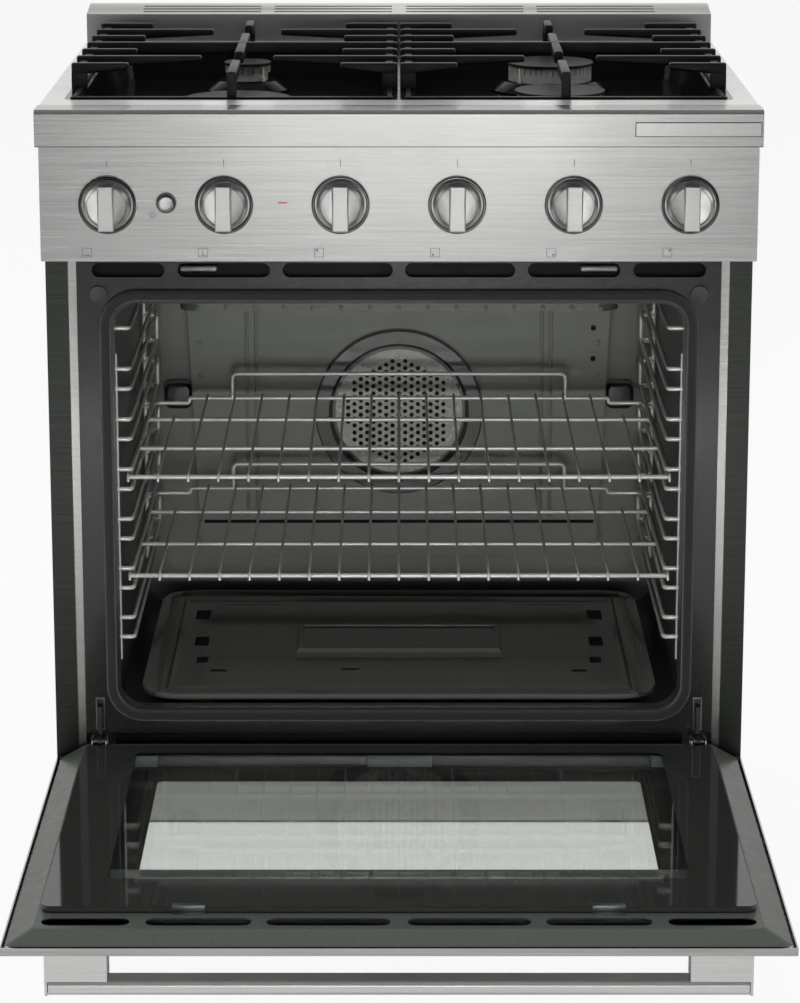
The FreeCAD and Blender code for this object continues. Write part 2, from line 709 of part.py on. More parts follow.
def burnerBases():
    """Each base is a cup under the pan and a cone that covers the hole in it."""
    bases = []
    low = d.panFloor
    for across, deep, head, cap, wide, narrow, top in burnerPlaces():
        body = newBody()
        outline = [(0, low - 43), (d.cupRadius, low - 43), (d.cupRadius, low - 2), (d.holeRadius - 1, low),
                   (wide, low + 0.2), (wide, low + 2), (narrow, d.headBase), (0, d.headBase)]
        spun(body, outline, across, deep)
        bases.append(body)
    return group(bases)


def burnerHeads():
    """Flame rings: a thin-walled ring with evenly spaced ports through its upper edge."""
    heads = []
    for across, deep, head, cap, wide, narrow, top in burnerPlaces():
        low = d.headBase
        high = top - 3.6
        ring = cut(rod("Z", head, low, high, across, deep), [rod("Z", head - 7, low + 3, high + 1, across, deep)])
        ports = []
        count = 12 if number(head) < 30 else 24
        for port in range(count):
            spin = FreeCAD.Rotation(FreeCAD.Vector(0, 0, 1), 360.0 * port / count)
            near = spin.multVec(FreeCAD.Vector(head - 9, -0.9, 0))
            solid = box(0, 11, 0, 1.8, 0, 6)
            solid.Placement = FreeCAD.Placement(FreeCAD.Vector(0, 0, high - 3), spin)
            solid.setExpression("Placement.Base.x", (across + near.x).text)
            solid.setExpression("Placement.Base.y", (deep + near.y).text)
            ports.append(solid)
        heads.append(cut(ring, ports))
    return group(heads)


def burnerCaps():
    caps = []
    for across, deep, head, cap, wide, narrow, top in burnerPlaces():
        body = newBody()
        low = top - 3.6
        outline = [(0, low), (cap - 1, low), (cap, low + 0.8), (cap, low + 2.2), (cap - 1.4, top), (0, top)]
        spun(body, outline, across, deep)
        caps.append(body)
    return group(caps)


def igniters():
    """Ceramic spark electrodes, one in front of each burner head."""
    pins = []
    for across, deep, head, cap, wide, narrow, top in burnerPlaces():
        side = 1 if number(across) > 0 else -1
        x = across - side * (head + 3.2) * 0.707
        y = deep - (head + 3.2) * 0.707
        pins.append(fuse([rod("Z", 2.5, d.headBase, d.headBase + 5, x, y),
                          rod("Z", 1, d.headBase + 4, top - 5, x, y)]))
    return group(pins)


def grate(side):
    """Cast grate: seven rows of bars on two rails, a middle line of fingers, four feet and a low foot rail."""
    top = d.grateTop
    low = top - d.barDeep
    foot = d.deckTop + 0.2
    half = d.barWide / 2
    mid = d.burnerAcross
    inner = d.grateInner
    outer = d.grateOuter
    pieces = []

    def bar(x0, x1, y0, y1, z0, z1):
        ends = (x0, x1) if side > 0 else (-x1, -x0)
        pieces.append(box(*ends, y0, y1, z0, z1))

    rows = [d.rowFirst + d.rowPitch * index for index in range(7)]
    for index, row in enumerate(rows):
        if index == 3:
            spans = [(inner, outer)]
        elif index in (1, 5):
            spans = [(inner, mid - d.tipGap), (mid + d.tipGap, outer)]
        else:
            spans = [(inner, inner + d.fingerLong), (outer - d.fingerLong, outer)]
        for start, end in spans:
            bar(start, end, row - half, row + half, low, top)
    for x in (inner + 5, outer - 13):
        bar(x, x + 8, rows[0], rows[6], low - 2, top - 4)
        bar(x, x + 8, d.grateFront, d.grateBack, foot, foot + d.footRail)
    for x in (inner, outer - d.footWide):
        for row in (rows[0], rows[6]):
            bar(x, x + d.footWide, row - half, row + half, foot, low + 1)
    for start, end in ((d.grateFront, 187), (258, 433), (508, d.grateBack)):
        bar(mid - half, mid + half, start, end, low, top)
    for start, end in ((d.grateFront, d.grateFront + 10), (d.grateBack - 10, d.grateBack)):
        bar(mid - half, mid + half, start, end, foot, low + 1)
        bar(inner + 5, outer - 5, start + 1, end - 1, foot, foot + d.footRail)
    return fuse(pieces)


# ---- gas line ----

def valvePlaces():
    return knobPlaces()[2:]


def gasManifold():
    """Manifold pipe behind the panel, a drop to the regulator, and a threaded inlet at the back."""
    r = d.pipeRadius
    high = d.knobHigh
    deep = d.pipeDeep
    end = d.inletAcross
    drop = d.bodyBack - 45
    pieces = [rod("X", r, -100, end, deep, high), ball(r, end, deep, high), rod("Y", r, deep, drop, end, high),
              ball(r, end, drop, high), rod("Z", r, d.inletHigh, high, end, drop), ball(r, end, drop, d.inletHigh),
              rod("Y", r, drop, d.bodyBack - 25, end, d.inletHigh),
              rod("Y", 15, d.bodyBack - 40, d.bodyBack - 21, end, d.inletHigh),
              rod("Y", d.inletRadius, d.bodyBack - 22, d.backMost, end, d.inletHigh),
              rod("Z", 27, 320, 352, end, drop), rod("Z", 17, 300, 372, end, drop), rod("X", 13, -106, -98, deep, high)]
    return fuse(pieces)


def burnerValves():
    valves = []
    for across in valvePlaces():
        high = d.knobHigh
        body = fuse([box(across - 14, across + 14, 30, d.pipeDeep - d.pipeRadius - 0.1, high - 14, high + 14),
                     rod("Y", 8, 22, 31, across, high)])
        valves.append(cut(body, [rod("Y", d.stemRadius + d.stemFit, 20, 50, across, high)]))
    return group(valves)


def valveStem(place):
    """Round valve stem with a flat at its front end."""
    across = knobPlaces()[place]
    high = d.knobHigh
    shaft = rod("Y", d.stemRadius, d.stemFront, d.stemBack, across, high)
    return cut(shaft, [box(across - 5, across + 5, d.stemFront - 1, d.knobBack + 9, high + d.flatOffset, high + 6)])


def gasTubes():
    """Aluminium tube from each valve to the cup of its burner, in straight runs with ball elbows."""
    r = d.tubeRadius
    start = 45
    low = d.knobHigh + 14
    places = burnerPlaces()
    tubes = []
    for across, place, level, lane in ((valvePlaces()[0], 2, 836, -135), (valvePlaces()[1], 0, 848, None),
                                       (valvePlaces()[2], 1, 848, valvePlaces()[2]),
                                       (valvePlaces()[3], 3, 836, valvePlaces()[3])):
        x, y = places[place][:2]
        run = x if lane is None else lane
        pieces = [rod("Z", r, low, level, across, start), ball(r, across, start, level)]
        if number(run) < number(across):
            pieces.append(rod("X", r, run, across, start, level))
            pieces.append(ball(r, run, start, level))
        if place in (0, 1):
            pieces.append(rod("Y", r, start, y - d.cupRadius - 0.05, run, level))
        else:
            pieces += [rod("Y", r, start, y, run, level), ball(r, run, y, level)]
            reach = d.cupRadius + 0.05
            near = (run, x - reach) if number(run) < number(x) else (x + reach, run)
            pieces.append(rod("X", r, near[0], near[1], y, level))
        tubes.append(fuse(pieces))
    return group(tubes)


def ovenSwitches():
    """Two rotary oven switches and the light switch, each with a mounting flange against the panel."""
    switches = []
    flange = d.panelFront + d.sheetWall
    for across in knobPlaces()[:2]:
        high = d.knobHigh
        body = fuse([rod("Y", 17, flange, flange + 2, across, high), rod("Y", 8, flange, 30, across, high),
                     box(across - 20, across + 20, 28, 58, high - 20, high + 20)])
        switches.append(cut(body, [rod("Y", d.stemRadius + d.stemFit, flange - 2, 50, across, high)]))
    across = d.buttonAcross
    high = d.buttonHigh
    body = fuse([rod("Y", 13, flange, flange + 2, across, high), rod("Y", 10.5, flange, 22, across, high),
                 box(across - 11, across + 11, 20, 44, high - 11, high + 11)])
    switches.append(cut(body, [rod("Y", d.buttonHole, flange - 2, 18, across, high),
                               rod("Y", 3.05, 14, 36, across, high)]))
    return group(switches)


def terminalBox():
    return fuse([box(-345, -255, d.bodyBack - 42, d.bodyBack - d.sheetWall, 150, 210),
                 rod("Y", 12, d.bodyBack - 10, d.backMost, -300, 180)])


def coverScrews():
    screws = []
    for side in (-1, 1):
        for high in (150, 350, 550, 750, 890):
            screws.append(rod("Y", 4, d.bodyBack, d.backMost, side * (d.bodyHalf - 12), high))
    return group(screws)


# ---- knobs and button ----

def knob(place):
    """Turned skirt with an upright grip bar; burner knobs have a bore with a flat, oven knobs a spindle."""
    across = knobPlaces()[place]
    high = d.knobHigh
    r = d.knobRadius
    body = newBody()
    base = pad(body, "XZ", [circle(across, high, r)], d.gripBase, d.knobBack)
    roundOff(body, base, 1.5, lambda edge: edge.BoundBox.YMax < number(d.gripBase) + 0.1)
    pad(body, "XZ", [circle(across, high, d.hubRadius)], d.knobBack - 1, d.knobBack + 3)
    bar = pad(body, "XZ", [roundRect(across - d.gripHalf, across + d.gripHalf, high - r + 1.5, high + r - 1.5, 8)],
              d.knobFace, d.gripBase + 2)
    roundOff(body, bar, 2, lambda edge: edge.BoundBox.YMax < number(d.knobFace) + 0.1)
    if place < 2:
        pad(body, "XZ", [circle(across, high, d.stemRadius)], d.knobBack, d.stemBack)
        return body
    bore = d.stemRadius + d.stemFit
    hole = cut(rod("Y", bore, d.stemFront - 5.5, d.knobBack + 4, across, high),
               [box(across - 6, across + 6, d.stemFront - 7, 12, high + d.flatOffset + d.stemFit, high + 7)])
    return cut(body, [hole])


def knobBezels():
    rings = []
    for across in knobPlaces():
        body = newBody()
        ring = pad(body, "XZ", [circle(across, d.knobHigh, d.bezelRadius), circle(across, d.knobHigh, d.bezelInner)],
                   d.bezelFront, d.panelFront)
        roundOff(body, ring, 1.4, lambda edge: edge.BoundBox.YMax < number(d.bezelFront) + 0.1)
        rings.append(body)
    body = newBody()
    centre = (d.buttonAcross, d.buttonHigh)
    pad(body, "XZ", [circle(*centre, d.buttonRing), circle(*centre, d.buttonRadius + 0.4)], 5, d.panelFront)
    rings.append(body)
    return group(rings)


def lightButton():
    centre = (d.buttonAcross, d.buttonHigh)
    body = newBody()
    cap = pad(body, "XZ", [circle(*centre, d.buttonRadius)], 4, 12)
    roundOff(body, cap, 0.8, lambda edge: edge.BoundBox.YMax < 4.1)
    pad(body, "XZ", [circle(*centre, 3)], 12, 30)
    return body


def indicatorLens():
    body = newBody()
    pad(body, "XZ", [roundRect(d.lensAcross - d.lensLong / 2 + 0.1, d.lensAcross + d.lensLong / 2 - 0.1,
                               d.buttonHigh - d.lensHigh / 2 + 0.1, d.buttonHigh + d.lensHigh / 2 - 0.1, 0.5)],
        d.panelFront - 0.3, d.panelFront + 6)
    return body


# ---- racks ----

def rack(high):
    """Wire rack: heavy front and rear bars, side rails, cross bars, fine wires and a raised rear rail."""
    thick = d.wire / 2
    thin = d.thinWire / 2
    rise = thick + thin - 0.6
    half = d.rackHalf
    front = d.rackFront
    back = d.rackBack
    pieces = [rod("X", thick + 0.3, -half, half, front, high)]
    for deep in (front + 130, front + 270, back):
        pieces.append(rod("X", thick, -half, half, deep, high))
    for side in (-1, 1):
        pieces.append(rod("Y", thick, front, back, side * half, high - 4))
    for index in range(-9, 10):
        across = d.rackPitch * index if index else 0
        pieces.append(rod("Y", thin, front - 4, back + 3, across, high + rise))
        pieces.append(ball(thin, across, front - 4, high + rise))
        pieces.append(rod("Z", thin, high - 4, high + rise, across, front - 4))
    reach = d.galleryHalf
    top = high + d.galleryRise
    pieces.append(rod("X", thick, -reach, reach, back, top))
    for side in (-1, 1):
        pieces.append(rod("Z", thick, high, top, side * reach, back))
        pieces.append(ball(thick, side * reach, back, top))
    return fuse(pieces)


# ---- door, modelled open and level ----

def doorSkin():
    """Outer steel tray with the window opening and returned edges."""
    body = newBody()
    half = d.bodyHalf
    far = d.doorFar
    near = d.doorNear
    low = d.skinLow
    wall = d.sheetWall
    pad(body, "XY", [roundRect(-half, half, far, near, 2)], low, d.skinHigh)
    pocket(body, "XY", [roundRect(wall - half, half - wall, far + wall, near - wall, 1)], low + wall, d.skinHigh + 1)
    pocket(body, "XY", [roundRect(-d.windowHalf, d.windowHalf, d.windowFar, d.windowNear, 8)], low - 1, low + wall + 1)
    return body


def doorLiner():
    """Pressed inner pan with sloping edges, a row of vents, the window opening and the hinge notches."""
    body = newBody()
    far = d.linerDoorFar
    near = d.doorNear - d.sheetWall - 0.2
    low = d.skinHigh
    top = d.linerDoorTop
    half = d.linerDoorHalf
    edge = d.bodyHalf - 5
    wall = d.sheetWall
    loft(body, "Additive", roundRect(-edge, edge, d.doorFar + 4, near, 6), low, roundRect(-half, half, far, near, 8), top)
    loft(body, "Subtractive", roundRect(wall * 2 - edge, edge - wall * 2, d.doorFar + 7, near - wall, 5), low - 0.1,
         roundRect(wall * 2 - half, half - wall * 2, far + 3, near - wall, 7), top - wall)
    pocket(body, "XY", [roundRect(-300, 300, d.windowFar - 25, d.windowNear + 20, 8)], top - wall - 1, top + 1)
    slots = []
    for side in (-1, 1):
        for inner, outer in ((8, 126), (140, 241), (256, 340)):
            a, b = sorted((side * inner, side * outer))
            slots.append(roundRect(a, b, -479, -459, 9.8))
    pocket(body, "XY", slots, top - wall - 1, top + 1)
    notches = []
    for side in (-1, 1):
        across = side * d.hingeAcross
        notches.append(polygon([(across - 10.5, 15), (across + 10.5, 15), (across + 10.5, near + 5),
                                (across - 10.5, near + 5)]))
    pocket(body, "XY", notches, low - 1, top + 1)
    return body


def doorGlassOuter():
    body = newBody()
    low = d.skinLow + d.sheetWall
    pad(body, "XY", [roundRect(-(d.windowHalf + 15), d.windowHalf + 15, d.windowFar - 15, d.windowNear + 15, 6)],
        low, low + d.glassThick)
    return body


def doorGlassInner():
    body = newBody()
    half = d.innerGlassHalf
    pad(body, "XY", [roundRect(-half, half, d.innerGlassFar, d.innerGlassNear, 10)], d.innerGlassLow, d.innerGlassTop)
    return body


def glassClips():
    """Z-shaped clips that hold the far edge of the inner glass down on the liner."""
    clips = []
    for side in (-1, 1):
        body = newBody()
        edge = d.innerGlassFar
        low = d.linerDoorTop
        top = d.innerGlassTop
        outline = [(edge - 11, low), (edge - 0.4, low), (edge - 0.4, top), (edge + 6, top), (edge + 6, top + 1),
                   (edge - 1.4, top + 1), (edge - 1.4, low + 1), (edge - 11, low + 1)]
        a, b = sorted((side * 185, side * 217))
        pad(body, "YZ", [polygon(outline)], a, b)
        clips.append(body)
    return group(clips)


def doorHinges():
    """Channel in each side of the door, with two ears that carry the hinge pin."""
    hinges = []
    pivot = d.pivotDeep
    high = d.pivotHigh
    floor = d.skinLow + d.sheetWall + 0.7
    for side in (-1, 1):
        across = side * d.hingeAcross
        pieces = [box(across - 9, across + 9, -130, 30, floor, floor + 2)]
        for x in (across - 9, across + 7):
            pieces += [box(x, x + 2, -130, 30, floor, floor + 16), box(x, x + 2, 29, pivot + 8, high - 20, high),
                       rod("X", 8, x, x + 2, pivot, high), box(x, x + 2, 20, 40, floor, high - 6)]
        pieces.append(rod("X", d.pinRadius, across - 9, across + 9, pivot, high))
        hinges.append(fuse(pieces))
    return group(hinges)


def hingeReceivers():
    """Fixed hinge arm on each side: an eye on the hinge pin, a riser, and a tongue held in its receiver."""
    receivers = []
    pivot = d.pivotDeep
    high = d.pivotHigh
    for side in (-1, 1):
        across = side * d.hingeAcross
        arm = fuse([rod("X", 7.5, across - 2.2, across + 2.2, pivot, high),
                    box(across - 2.2, across + 2.2, 39.5, 48.5, high - 2, 250),
                    box(across - 2.2, across + 2.2, 39.5, 112, 228, 250),
                    box(across - 9, across + 9, d.frameFront + d.sheetWall, 54, 212, 268),
                    box(across - 9, across + 9, 110, 112, 222, 260),
                    box(across - 9, across - 7, 53, 111, 222, 260), box(across + 7, across + 9, 53, 111, 222, 260)])
        bore = rod("X", d.pinRadius + d.pinFit, across - 4, across + 4, pivot, high)
        receivers.append(cut(arm, [bore]))
    return group(receivers)


def handleBar():
    body = newBody()
    bar = pad(body, "YZ", [polygon([(d.handleFar, d.handleLow), (d.handleNear, d.handleLow),
                                    (d.handleNear, d.handleBarTop), (d.handleFar, d.handleBarTop)])],
              -d.barEnd, d.barEnd)
    roundOff(body, bar, d.handleRound, lambda edge: edge.Length > 300)
    return body


def handlePosts():
    posts = []
    for side in (-1, 1):
        body = newBody()
        # the block stands on the bar, and its thin outer lip covers the end of the bar
        a, b = (d.postInner, d.postOuter) if side > 0 else (-d.postOuter, -d.postInner)
        pad(body, "XY", [polygon([(a, d.handleFar), (b, d.handleFar), (b, d.handleNear), (a, d.handleNear)])],
            d.handleBarTop, d.skinLow)
        a, b = (d.barEnd, d.postOuter) if side > 0 else (-d.postOuter, -d.barEnd)
        lip = pad(body, "XY", [polygon([(a, d.handleFar), (b, d.handleFar), (b, d.handleNear), (a, d.handleNear)])],
                  d.handleLow, d.handleBarTop)
        roundOff(body, lip, d.lipRound, lambda edge: abs(edge.BoundBox.ZMax - number(d.handleLow)) < 0.1)
        posts.append(body)
    return group(posts)


# ---- the whole range ----

singles = {
    "base_frame": baseFrame, "rear_panel": rearPanel, "kick_plate": kickPlate, "levelling_legs": levellingLegs,
    "front_trim": frontTrim, "trim_plate": trimPlate, "control_panel": controlPanel, "back_guard": backGuard,
    "front_frame": frontFrame, "oven_liner": ovenLiner, "oven_insulation": ovenInsulation,
    "oven_gasket": ovenGasket, "rack_guides": rackGuides, "oven_floor_panel": ovenFloor,
    "bake_burner": bakeBurner, "broil_burner": broilBurner, "fan_baffle": fanBaffle, "fan_wheel": fanWheel,
    "fan_motor": fanMotor, "oven_lamps": ovenLamps, "cooktop_deck": cooktopDeck, "burner_pan": burnerPan,
    "burner_bases": burnerBases, "burner_heads": burnerHeads, "burner_caps": burnerCaps, "igniters": igniters,
    "gas_manifold": gasManifold, "burner_valves": burnerValves, "gas_tubes": gasTubes,
    "oven_switches": ovenSwitches, "terminal_box": terminalBox, "cover_screws": coverScrews,
    "knob_bezels": knobBezels, "light_button": lightButton, "indicator_lens": indicatorLens,
    "door_skin": doorSkin, "door_liner": doorLiner, "door_glass_outer": doorGlassOuter,
    "door_glass_inner": doorGlassInner, "glass_clips": glassClips, "door_hinges": doorHinges,
    "hinge_receivers": hingeReceivers, "handle_bar": handleBar, "handle_posts": handlePosts,
}
for label, make in singles.items():
    finish(make(), label)
for label, side in (("left", -1), ("right", 1)):
    finish(sidePanel(side), "side_panel_" + label)
    finish(grate(side), "grate_" + label)
for label, level in (("upper", 2), ("lower", 4)):
    finish(rack(d.levelTop - d.levelPitch * level - d.pairGap + 11), "rack_" + label)
knobNames = ["oven_mode", "oven_heat", "rear_left", "front_left", "front_right", "rear_right"]
for order, name in enumerate(knobNames):
    finish(knob(order), "knob_" + name)
    if order > 1:
        finish(valveStem(order), "valve_stem_" + name)

shift = -(d.doorFar + d.backMost) / 2
for thing in parts:
    place(thing, 0, shift, 0)
doc.recompute()

for thing in doc.Objects:
    if "Invalid" in thing.State or "Error" in thing.State:
        raise RuntimeError("failed: %s %s %s" % (thing.Name, thing.Label, thing.State))
os.makedirs("parts", exist_ok=True)
for thing in parts:
    if thing.Shape.isNull() or not thing.Shape.isValid():
        raise RuntimeError("bad shape: " + thing.Label)
    thing.Shape.exportStep("parts/%s.step" % thing.Label)
print(len(parts), "sub-parts written")
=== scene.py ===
import bpy
import json
import math
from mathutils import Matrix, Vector

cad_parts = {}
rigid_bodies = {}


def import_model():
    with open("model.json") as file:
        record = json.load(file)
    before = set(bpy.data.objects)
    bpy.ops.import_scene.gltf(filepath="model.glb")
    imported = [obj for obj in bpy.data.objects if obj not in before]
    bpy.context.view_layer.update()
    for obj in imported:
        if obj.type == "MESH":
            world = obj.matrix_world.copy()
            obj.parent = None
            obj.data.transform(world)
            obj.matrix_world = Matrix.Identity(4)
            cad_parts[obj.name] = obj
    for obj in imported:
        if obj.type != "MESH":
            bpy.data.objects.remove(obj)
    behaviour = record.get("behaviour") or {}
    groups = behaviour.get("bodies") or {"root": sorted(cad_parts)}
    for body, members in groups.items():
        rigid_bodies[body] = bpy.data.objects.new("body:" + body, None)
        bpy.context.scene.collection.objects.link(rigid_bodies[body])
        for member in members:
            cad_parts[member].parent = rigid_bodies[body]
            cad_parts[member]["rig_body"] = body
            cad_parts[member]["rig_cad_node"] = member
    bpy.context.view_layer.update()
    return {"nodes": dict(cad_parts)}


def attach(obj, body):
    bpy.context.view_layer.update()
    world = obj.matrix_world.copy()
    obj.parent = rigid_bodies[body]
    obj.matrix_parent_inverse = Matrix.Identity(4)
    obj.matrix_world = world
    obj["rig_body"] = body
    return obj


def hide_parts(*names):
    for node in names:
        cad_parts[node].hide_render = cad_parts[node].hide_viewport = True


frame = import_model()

nodes = frame["nodes"]
shiftY = -73          # mm: depths below are measured from the trim's face, this moves them into the frame


def inFrame(x, depth, z):
    return Vector((x / 1000, (depth + shiftY) / 1000, z / 1000))


# camera
view = {"x": 0, "depth": -3433, "z": 1403, "tiltDeg": 13.11, "lens": 119.3, "shiftUp": -0.1, "shiftSide": 0.0011}

bpy.ops.object.select_all(action="DESELECT")
bpy.ops.object.camera_add(location=inFrame(view["x"], view["depth"], view["z"]),
                          rotation=(math.radians(90 - view["tiltDeg"]), 0, 0))
camera = bpy.context.object
camera.data.lens = view["lens"]
camera.data.shift_x = view["shiftSide"]
camera.data.shift_y = view["shiftUp"]
bpy.context.scene.camera = camera
bpy.context.scene.view_settings.view_transform = "Standard"
print("camera ready")


# small helpers for materials
def toLinear(hexColour):
    parts = [int(hexColour[i:i + 2], 16) / 255 for i in (1, 3, 5)]
    return [c / 12.92 if c <= 0.04045 else ((c + 0.055) / 1.055) ** 2.4 for c in parts] + [1.0]


def addNode(tree, kind, settings=None, links=None):
    made = tree.nodes.new(kind)
    for key, value in (settings or {}).items():
        if isinstance(key, str) and hasattr(made, key):
            setattr(made, key, value)
        else:
            made.inputs[key].default_value = value
    for key, source in (links or {}).items():
        tree.links.new(source, made.inputs[key])
    return made


def newMaterial(name):
    material = bpy.data.materials.new(name)
    material.use_nodes = True
    material.node_tree.nodes.clear()
    return material, material.node_tree


def surfaceOf(tree, shader):
    addNode(tree, "ShaderNodeOutputMaterial", {}, {"Surface": shader.outputs[0]})


def pattern(tree, scale, settings, kind="ShaderNodeTexNoise", turn=(0, 0, 0)):
    # repeats per metre along the object's own X, Y and Z
    where = addNode(tree, "ShaderNodeTexCoord")
    spread = addNode(tree, "ShaderNodeMapping", {"Scale": scale, "Rotation": turn}, {"Vector": where.outputs["Object"]})
    return addNode(tree, kind, {"Scale": 1.0, **settings}, {"Vector": spread.outputs[0]})


def toneRamp(tree, source, low, high, dark, light):
    ramp = addNode(tree, "ShaderNodeValToRGB", {}, {"Fac": source})
    ramp.color_ramp.elements[0].position = low
    ramp.color_ramp.elements[1].position = high
    ramp.color_ramp.elements[0].color = toLinear(dark)
    ramp.color_ramp.elements[1].color = toLinear(light)
    return ramp


def remap(tree, source, low, high, toLow, toHigh):
    return addNode(tree, "ShaderNodeMapRange", {1: low, 2: high, 3: toLow, 4: toHigh}, {"Value": source})


def mathNode(tree, operation, links, settings=None):
    return addNode(tree, "ShaderNodeMath", {"operation": operation, **(settings or {})}, links)


# materials
def brushedSteel(name, light, dark, rough, grain, anisotropic=0.6, turn=(0, 0, 0), long=8, metallic=1.0):
    # hairlines from a sanding belt: real ones are 0.2 mm apart, here about 2 mm so that they show, and 120 mm long
    material, tree = newMaterial(name)
    hair = pattern(tree, (long, grain, grain), {"Detail": 2.0, "Roughness": 0.5}, turn=turn)
    cloud = pattern(tree, (4, 4, 4), {"Detail": 2.0})
    tone = toneRamp(tree, hair.outputs["Fac"], 0.25, 0.75, dark, light)
    gloss = remap(tree, hair.outputs["Fac"], 0.3, 0.7, rough - 0.015, rough + 0.015)
    worn = remap(tree, cloud.outputs["Fac"], 0.3, 0.7, -0.02, 0.02)
    total = mathNode(tree, "ADD", {0: gloss.outputs[0], 1: worn.outputs[0]})
    relief = addNode(tree, "ShaderNodeBump", {"Strength": 0.002, "Distance": 0.0003}, {"Height": hair.outputs["Fac"]})
    shader = addNode(tree, "ShaderNodeBsdfPrincipled", {"Metallic": metallic, "Anisotropic": anisotropic},
                     {"Base Color": tone.outputs["Color"], "Roughness": total.outputs[0], "Normal": relief.outputs[0]})
    surfaceOf(tree, shader)
    return material


def enamel(name, light, dark, rough, coat=0.5, level=0.5, metallic=0.0, fleck=1400):
    # fused glass coating: glossy, a little orange peel every 12 mm, and pale flecks about 0.8 mm across
    material, tree = newMaterial(name)
    peel = pattern(tree, (85, 85, 85), {"Detail": 2.0})
    speck = pattern(tree, (fleck, fleck, fleck), {"Detail": 1.0})
    tone = toneRamp(tree, speck.outputs["Fac"], 0.42, 0.7, dark, light)
    gloss = remap(tree, peel.outputs["Fac"], 0.3, 0.7, rough - 0.03, rough + 0.05)
    relief = addNode(tree, "ShaderNodeBump", {"Strength": 0.02, "Distance": 0.001}, {"Height": peel.outputs["Fac"]})
    shader = addNode(tree, "ShaderNodeBsdfPrincipled",
                     {"IOR": 1.5, "Coat Weight": coat, "Coat Roughness": 0.08, "Metallic": metallic,
                      "Specular IOR Level": level},
                     {"Base Color": tone.outputs["Color"], "Roughness": gloss.outputs[0], "Normal": relief.outputs[0]})
    surfaceOf(tree, shader)
    return material


def grainy(name, light, dark, rough, grit, metallic=0.0, bump=0.2, level=0.5):
    # cast, blasted, plated or moulded skin: grit says how many grains to the metre
    material, tree = newMaterial(name)
    grain = pattern(tree, (grit, grit, grit), {"Detail": 3.0})
    cloud = pattern(tree, (30, 30, 30), {"Detail": 2.0})
    tone = toneRamp(tree, cloud.outputs["Fac"], 0.3, 0.7, dark, light)
    gloss = remap(tree, grain.outputs["Fac"], 0.3, 0.7, rough - 0.05, rough + 0.07)
    relief = addNode(tree, "ShaderNodeBump", {"Strength": bump, "Distance": 0.0003}, {"Height": grain.outputs["Fac"]})
    shader = addNode(tree, "ShaderNodeBsdfPrincipled", {"Metallic": metallic, "Specular IOR Level": level},
                     {"Base Color": tone.outputs["Color"], "Roughness": gloss.outputs[0], "Normal": relief.outputs[0]})
    surfaceOf(tree, shader)
    return material


def paneGlass(name, halfX, nearDepth, farDepth, corner):
    # clear soda-lime glass with a black ceramic border fired round a rounded clear field
    material, tree = newMaterial(name)
    where = addNode(tree, "ShaderNodeTexCoord")
    split = addNode(tree, "ShaderNodeSeparateXYZ", {}, {0: where.outputs["Object"]})
    middle = (nearDepth + farDepth) / 2000 + shiftY / 1000
    halfY = abs(nearDepth - farDepth) / 2000
    aside = mathNode(tree, "ABSOLUTE", {0: split.outputs["X"]})
    sideways = mathNode(tree, "SUBTRACT", {0: aside.outputs[0]}, {1: halfX / 1000 - corner / 1000})
    centred = mathNode(tree, "SUBTRACT", {0: split.outputs["Y"]}, {1: middle})
    along = mathNode(tree, "ABSOLUTE", {0: centred.outputs[0]})
    lengthways = mathNode(tree, "SUBTRACT", {0: along.outputs[0]}, {1: halfY - corner / 1000})
    right = mathNode(tree, "MAXIMUM", {0: sideways.outputs[0]}, {1: 0.0})
    up = mathNode(tree, "MAXIMUM", {0: lengthways.outputs[0]}, {1: 0.0})
    rightTwo = mathNode(tree, "MULTIPLY", {0: right.outputs[0], 1: right.outputs[0]})
    upTwo = mathNode(tree, "MULTIPLY", {0: up.outputs[0], 1: up.outputs[0]})
    both = mathNode(tree, "ADD", {0: rightTwo.outputs[0], 1: upTwo.outputs[0]})
    reach = mathNode(tree, "SQRT", {0: both.outputs[0]})
    outside = mathNode(tree, "GREATER_THAN", {0: reach.outputs[0]}, {1: corner / 1000})
    smear = pattern(tree, (14, 14, 14), {"Detail": 3.0})
    gloss = remap(tree, smear.outputs["Fac"], 0.4, 0.8, 0.0, 0.04)
    clear = addNode(tree, "ShaderNodeBsdfPrincipled",
                    {"Base Color": toLinear("#fbfdfb"), "Transmission Weight": 1.0, "IOR": 1.45},
                    {"Roughness": gloss.outputs[0]})
    speck = pattern(tree, (900, 900, 900), {"Detail": 1.0})
    ink = toneRamp(tree, speck.outputs["Fac"], 0.4, 0.7, "#282a28", "#2d2f2d")
    frit = addNode(tree, "ShaderNodeBsdfPrincipled", {"Roughness": 0.05, "IOR": 1.5},
                   {"Base Color": ink.outputs["Color"]})
    mixed = addNode(tree, "ShaderNodeMixShader", {}, {0: outside.outputs[0], 1: clear.outputs[0], 2: frit.outputs[0]})
    surfaceOf(tree, mixed)
    return material


def wovenSleeve(name):
    # glass-fibre rope in a knitted jacket, stitches about 3 mm across
    material, tree = newMaterial(name)
    wave = pattern(tree, (320, 320, 320), {"Distortion": 2.0, "Detail": 2.0}, "ShaderNodeTexWave", (0.6, 0.6, 0.6))
    tone = toneRamp(tree, wave.outputs["Fac"], 0.1, 0.9, "#161816", "#2c2f2c")
    relief = addNode(tree, "ShaderNodeBump", {"Strength": 0.5, "Distance": 0.0006}, {"Height": wave.outputs["Fac"]})
    shader = addNode(tree, "ShaderNodeBsdfPrincipled", {"Roughness": 0.62, "Sheen Weight": 0.3},
                     {"Base Color": tone.outputs["Color"], "Normal": relief.outputs[0]})
    surfaceOf(tree, shader)
    return material


quarter = math.radians(90)
# light grey with fine level hairlines
stainless = brushedSteel("brushed stainless steel", "#cfd0ce", "#b8b9b7", 0.25, 520)
